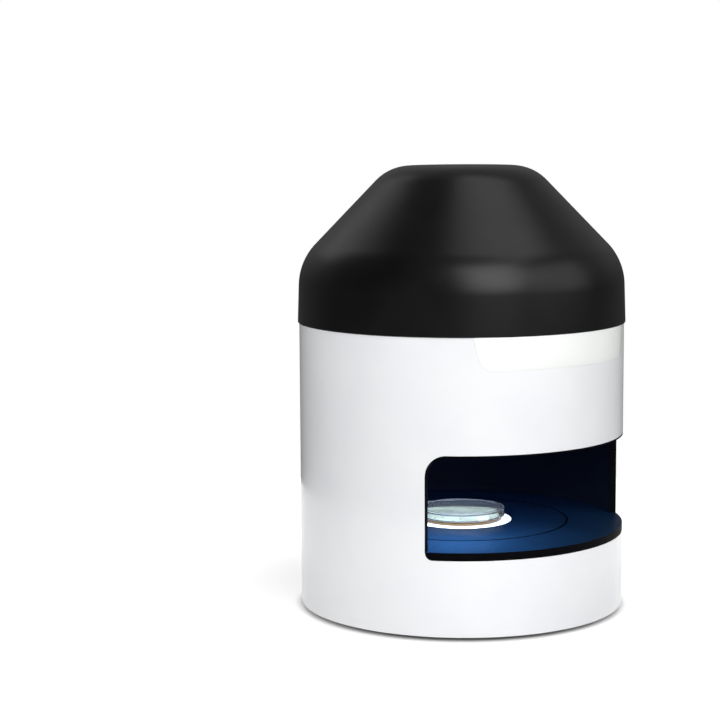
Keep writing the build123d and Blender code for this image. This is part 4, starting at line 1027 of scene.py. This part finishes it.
class COUNTER_OT_hardware(bpy.types.Operator):
    """Sets the screws that show, the rubber feet, the base plate and the rear panel"""

    bl_idname = "counter.hardware"
    bl_label = "Screws, feet and rear panel"

    def execute(self, context):
        s = context.scene.counter_hardware
        radius, height = s.head_radius / MM, s.head_height / MM
        for node in ("base_screws", "foot_screws", "ceiling_screws"):
            self.set_down(node, radius, height, 2.0)
        self.set_down("ring_light_screws", 2.8, 1.8, 1.5)
        places = []
        for centre in node_centres("dome_screws", 1, 1):
            direction = Vector((centre.x, centre.y, 0)).normalized()
            places.append((direction * SHELL_HIGH.x / MM + Vector((0, 0, centre.z)), direction))
        low_head = screw_head(radius, 1.2, 2.0, 6.5, surface("blackened_steel"))
        self.spread("dome_screws", "screw_black", low_head, places)
        foot, tall, bore, play = s.foot_radius / MM, 5.0, 2.1, 0.3
        section = [
            (bore, height + play, 0),
            (radius + play, height + play, 0.2),
            (radius + play, 0.0, 0.3),
            (foot - 1.0, 0.0, 0.6),
            (foot, 1.0, 0.6),
            (foot, tall, 0.2),
            (bore, tall, 0),
        ]
        places = [((c.x, c.y, 0), (0, 0, 1)) for c in node_centres("rubber_feet", 2, 0)]
        one = turned("foot", section, surface("black_rubber"), True, 64, 4)
        self.spread("rubber_feet", "foot_rubber", one, places)
        dress("grey_powder_coat", "base_plate")
        dress("textured_black_moulding", "rear_panel")
        dress("glossy_black_moulding", "switch_frame", "power_rocker", "power_inlet")
        dress("bright_nickel", "data_socket")
        return {"FINISHED"}

    def set_down(self, node, radius, height, shank):
        """Replaces steel screws whose heads hang below what they hold."""
        low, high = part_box(node)
        length = (high.z - low.z) / MM - height
        places = [((c.x, c.y, c.z + height), (0, 0, -1)) for c in node_centres(node, 2, 0)]
        self.spread(node, "steel", screw_head(radius, height, shank, length, surface("plated_steel")), places)

    def spread(self, node, slot, one, places):
        """Stands one piece at each place, instead of a CAD node."""
        pieces = repeated(node + "_skin", one, places, one.data.materials[0])
        face_out(pieces)
        finish_piece(pieces, "cabinet", slot, node)


# ---------------------------------------------------------------------- inner works
class COUNTER_OT_inner_works(bpy.types.Operator):
    """Gives the camera, the lens, the boards and the lower bay their finishes"""

    bl_idname = "counter.inner_works"
    bl_label = "Inner works"

    def execute(self, context):
        dress("turned_aluminium", "camera_posts", "floor_pillars", "camera_plate", "board_capacitors")
        dress("black_anodised", "camera_body", "lens_barrel", "iris_ring", "focus_ring", "focus_tube")
        dress("turned_brass", "iris_lock_screw", "focus_lock_screw", "backlight_standoffs", "board_standoffs")
        dress("coated_lens_glass", "front_glass", "rear_glass")
        dress("green_solder_mask", "ring_light_board", "backlight_board", "control_board")
        dress("led_epoxy", "ring_light_leds", "backlight_leds")
        dress("moulded_epoxy", "board_chips")
        dress("white_reflector", "backlight_reflector")
        dress("bright_nickel", "camera_socket")
        dress("plated_steel", "baffle_screws", "camera_plate_screws", "camera_screws", "backlight_screws")
        dress("plated_steel", "board_screws", "panel_screws")
        return {"FINISHED"}


# ----------------------------------------------------------------- stage and camera
class StudioSettings(bpy.types.PropertyGroup):
    """Camera, floor and lights."""

    distance: metres("Distance", "Camera to the axis", 2.0251)
    height: metres("Height", "Camera above the bench", 0.5081)
    azimuth: degrees("Azimuth", "Camera round the machine", -45)
    pitch: degrees("Pitch", "Camera tilt down", 7.013)
    yaw: degrees("Yaw", "Camera turn to the left", 3.013)
    roll: degrees("Roll", "Camera roll", -0.358)
    lens: FloatProperty(name="Lens", description="Focal length in millimetres", default=96.63, min=1)
    key_power: watts("Key power", "Power of the key light", 17.0)
    left_fill: watts("Left fill", "Power of the left fill light", 50.0)
    front_fill: watts("Front fill", "Power of the front fill light", 6.3)
    right_fill: watts("Right fill", "Power of the right fill light", 29.0)
    side_power: watts("Side power", "Power of the side light", 6.3)
    rim_power: watts("Rim power", "Power of the rim light", 1.5)
    top_power: watts("Top power", "Power of the top light", 3.2)
    accent_power: watts("Accent power", "Power of the light in the chamber", 0.58)
    ambient: amount("Ambient", "Brightness of the dim surroundings", 0.0)
    backdrop: amount("Backdrop", "Brightness high behind the machine", 0.22)
    floor_radius: metres("Floor radius", "Radius of the floor", 0.75)
    floor_glow: amount("Floor glow", "Light given off by the floor", 0.9)
    floor_colour: FloatVectorProperty(
        name="Floor colour",
        description="Colour of the floor",
        default=(0.9, 0.9, 0.9),
        subtype="COLOR",
        size=3,
    )


def round_about(azimuth, elevation, distance, target):
    """A place round a target: azimuth in degrees to the right of the camera, then elevation."""
    a, e = math.radians(azimuth - 45), math.radians(elevation)
    direction = Vector((math.sin(a) * math.cos(e), -math.cos(a) * math.cos(e), math.sin(e)))
    return Vector(target) + distance * direction


def softbox(name, azimuth, elevation, distance, size, power, target=(0, 0, 0.24)):
    """A white rectangular area light that faces its target."""
    lamp = bpy.data.lights.new(name, "AREA")
    lamp.shape = "RECTANGLE"
    lamp.size, lamp.size_y = size
    lamp.energy = power
    made = link_new(name, lamp)
    made.location = round_about(azimuth, elevation, distance, target)
    made.rotation_mode = "QUATERNION"
    made.rotation_quaternion = (Vector(target) - made.location).to_track_quat("-Z", "Y")
    made.visible_camera = False
    return made


class COUNTER_OT_studio(bpy.types.Operator):
    """Lays the pale floor and sets the lights and the camera"""

    bl_idname = "counter.studio"
    bl_label = "Studio"

    def execute(self, context):
        s = context.scene.counter_studio
        self.lay_floor(s)
        self.set_lights(context, s)
        self.set_camera(context, s)
        context.scene.view_settings.view_transform = "Standard"
        return {"FINISHED"}

    def lay_floor(self, s):
        """A pale disc that glows more and more away from the machine; the dim ring under and round the
        machine is a painted shadow.
        """
        mesh = bpy.data.meshes.new("bench_top")
        sides = 72
        turns = [2 * math.pi * i / sides for i in range(sides)]
        rim = [(s.floor_radius * math.cos(t), s.floor_radius * math.sin(t), 0) for t in turns]
        mesh.from_pydata(rim, [], [range(sides)])
        material, tree, shader = begin_material("pale_bench", {"IOR": 1.45, "Roughness": 0.12})
        shader.inputs["Base Color"].default_value = (*s.floor_colour, 1.0)
        shader.inputs["Emission Color"].default_value = (1, 1, 1, 1)
        away = measure(tree, "LENGTH", coordinates(tree))
        # The glow is held back near the machine: below these radii the floor carries a painted shadow.
        dark, edge, clear, edge_share = 0.160, 0.180, 0.420, 0.7
        near = map_range(tree, away, dark, edge, 0.0, s.floor_glow * edge_share, "SMOOTHSTEP")
        far = map_range(tree, away, edge, clear, 0.0, s.floor_glow * (1 - edge_share), "SMOOTHSTEP")
        tree.links.new(calculate(tree, "ADD", near, far), shader.inputs["Emission Strength"])
        mesh.materials.append(material)
        floor = link_new("bench_top", mesh)
        floor.visible_diffuse = False

    def set_lights(self, context, s):
        softbox("key_softbox", 23, 32, 2.1, (1.3, 1.7), s.key_power)
        softbox("side_softbox", 72, 24, 2.1, (1.7, 1.4), s.side_power)
        softbox("top_softbox", 80, 72, 1.5, (0.9, 1.1), s.top_power, target=(0, 0, 0.40))
        softbox("rim_softbox", -130, 38, 2.0, (0.8, 1.2), s.rim_power, target=(0, 0, 0.40))
        softbox("left_fill", -38, 10, 2.6, (1.6, 1.4), s.left_fill).visible_glossy = False
        softbox("front_fill", 25, 6, 2.6, (1.6, 1.4), s.front_fill).visible_glossy = False
        softbox("right_fill", 62, 6, 2.6, (1.6, 1.4), s.right_fill).visible_glossy = False
        self.light_chamber(s)
        self.surround(context, s)

    def light_chamber(self, s):
        """A cool light under the top of the opening, over the near edge of the deck."""
        lamp = bpy.data.lights.new("chamber_accent", "AREA")
        lamp.shape = "DISK"
        lamp.size = 0.05
        lamp.energy = s.accent_power
        lamp.color = linear("#D6E6FF")[:3]
        made = link_new("chamber_accent", lamp)
        made.location = round_about(-4, 0, 0.122, (0, 0, 0.168))
        made.visible_camera = False
        made.visible_glossy = False

    def surround(self, context, s):
        """Surroundings that are dim, and bright high behind the machine; the camera sees white."""
        world = bpy.data.worlds.new("surroundings")
        world.use_nodes = True
        tree = world.node_tree
        tree.nodes.clear()
        direction = coordinates(tree, "Generated")
        behind = -round_about(0, 0, 1, (0, 0, 0))
        back = map_range(tree, measure(tree, "DOT_PRODUCT", direction, behind), 0.05, 0.7)
        parts = add_node(tree, "ShaderNodeSeparateXYZ", None, {"Vector": direction})
        high = map_range(tree, parts.outputs["Z"], 0.0, 0.3, 0.35)
        glow = calculate(tree, "MULTIPLY", back, high)
        strength = calculate(tree, "MULTIPLY_ADD", glow, s.backdrop, s.ambient)
        path = add_node(tree, "ShaderNodeLightPath")
        white = (1, 1, 1, 1)
        dim = add_node(tree, "ShaderNodeBackground", None, {"Color": white, "Strength": strength})
        seen = add_node(tree, "ShaderNodeBackground", None, {"Color": white, "Strength": 1.0})
        links = {1: dim.outputs["Background"], 2: seen.outputs["Background"]}
        links["Fac"] = path.outputs["Is Camera Ray"]
        mix = add_node(tree, "ShaderNodeMixShader", None, links)
        add_node(tree, "ShaderNodeOutputWorld", None, {"Surface": mix.outputs["Shader"]})
        context.scene.world = world

    def set_camera(self, context, s):
        level = math.cos(s.pitch)
        forward = Vector((-math.sin(s.yaw) * level, math.cos(s.yaw) * level, -math.sin(s.pitch)))
        right = Vector((math.cos(s.yaw), math.sin(s.yaw), 0))
        up = right.cross(forward)
        cos, sin = math.cos(s.roll), math.sin(s.roll)
        right, up = right * cos + up * sin, up * cos - right * sin
        place = Vector((0, -s.distance, s.height))
        turn = Matrix.Rotation(s.azimuth, 3, "Z")
        camera = link_new("camera", bpy.data.cameras.new("camera"))
        camera.data.lens = s.lens
        camera.data.sensor_width = 36
        camera.data.clip_end = 100
        axes = Matrix((turn @ right, turn @ up, turn @ -forward)).transposed()
        camera.matrix_world = Matrix.Translation(turn @ place) @ axes.to_4x4()
        context.scene.camera = camera


# ----------------------------------------------------------------- panel and register
class COUNTER_PT_panel(bpy.types.Panel):
    """Lists the operators of the colony counter"""

    bl_label = "Colony counter"
    bl_idname = "COUNTER_PT_panel"
    bl_space_type = "VIEW_3D"
    bl_region_type = "UI"
    bl_category = "Colony counter"

    def draw(self, context):
        for operator in OPERATORS:
            self.layout.operator(operator.bl_idname)


SETTINGS = {
    "counter_shell": ShellSettings,
    "counter_dome": DomeSettings,
    "counter_badge": BadgeSettings,
    "counter_chamber": ChamberSettings,
    "counter_dish": DishSettings,
    "counter_hardware": HardwareSettings,
    "counter_studio": StudioSettings,
}
OPERATORS = (
    COUNTER_OT_body_shell,
    COUNTER_OT_dome,
    COUNTER_OT_badge_and_edging,
    COUNTER_OT_chamber,
    COUNTER_OT_dish,
    COUNTER_OT_hardware,
    COUNTER_OT_inner_works,
    COUNTER_OT_studio,
)


def register():
    for group in SETTINGS.values():
        bpy.utils.register_class(group)
    for name, group in SETTINGS.items():
        setattr(bpy.types.Scene, name, PointerProperty(type=group))
    for operator in OPERATORS:
        bpy.utils.register_class(operator)
    bpy.utils.register_class(COUNTER_PT_panel)


def unregister():
    bpy.utils.unregister_class(COUNTER_PT_panel)
    for operator in reversed(OPERATORS):
        bpy.utils.unregister_class(operator)
    for name, group in reversed(list(SETTINGS.items())):
        delattr(bpy.types.Scene, name)
        bpy.utils.unregister_class(group)


def main():
    register()
    bpy.ops.counter.body_shell()
    bpy.ops.counter.dome()
    bpy.ops.counter.badge_and_edging()
    bpy.ops.counter.chamber()
    bpy.ops.counter.dish()
    bpy.ops.counter.hardware()
    bpy.ops.counter.inner_works()
    bpy.ops.counter.studio()


if __name__ == "__main__":
    main()
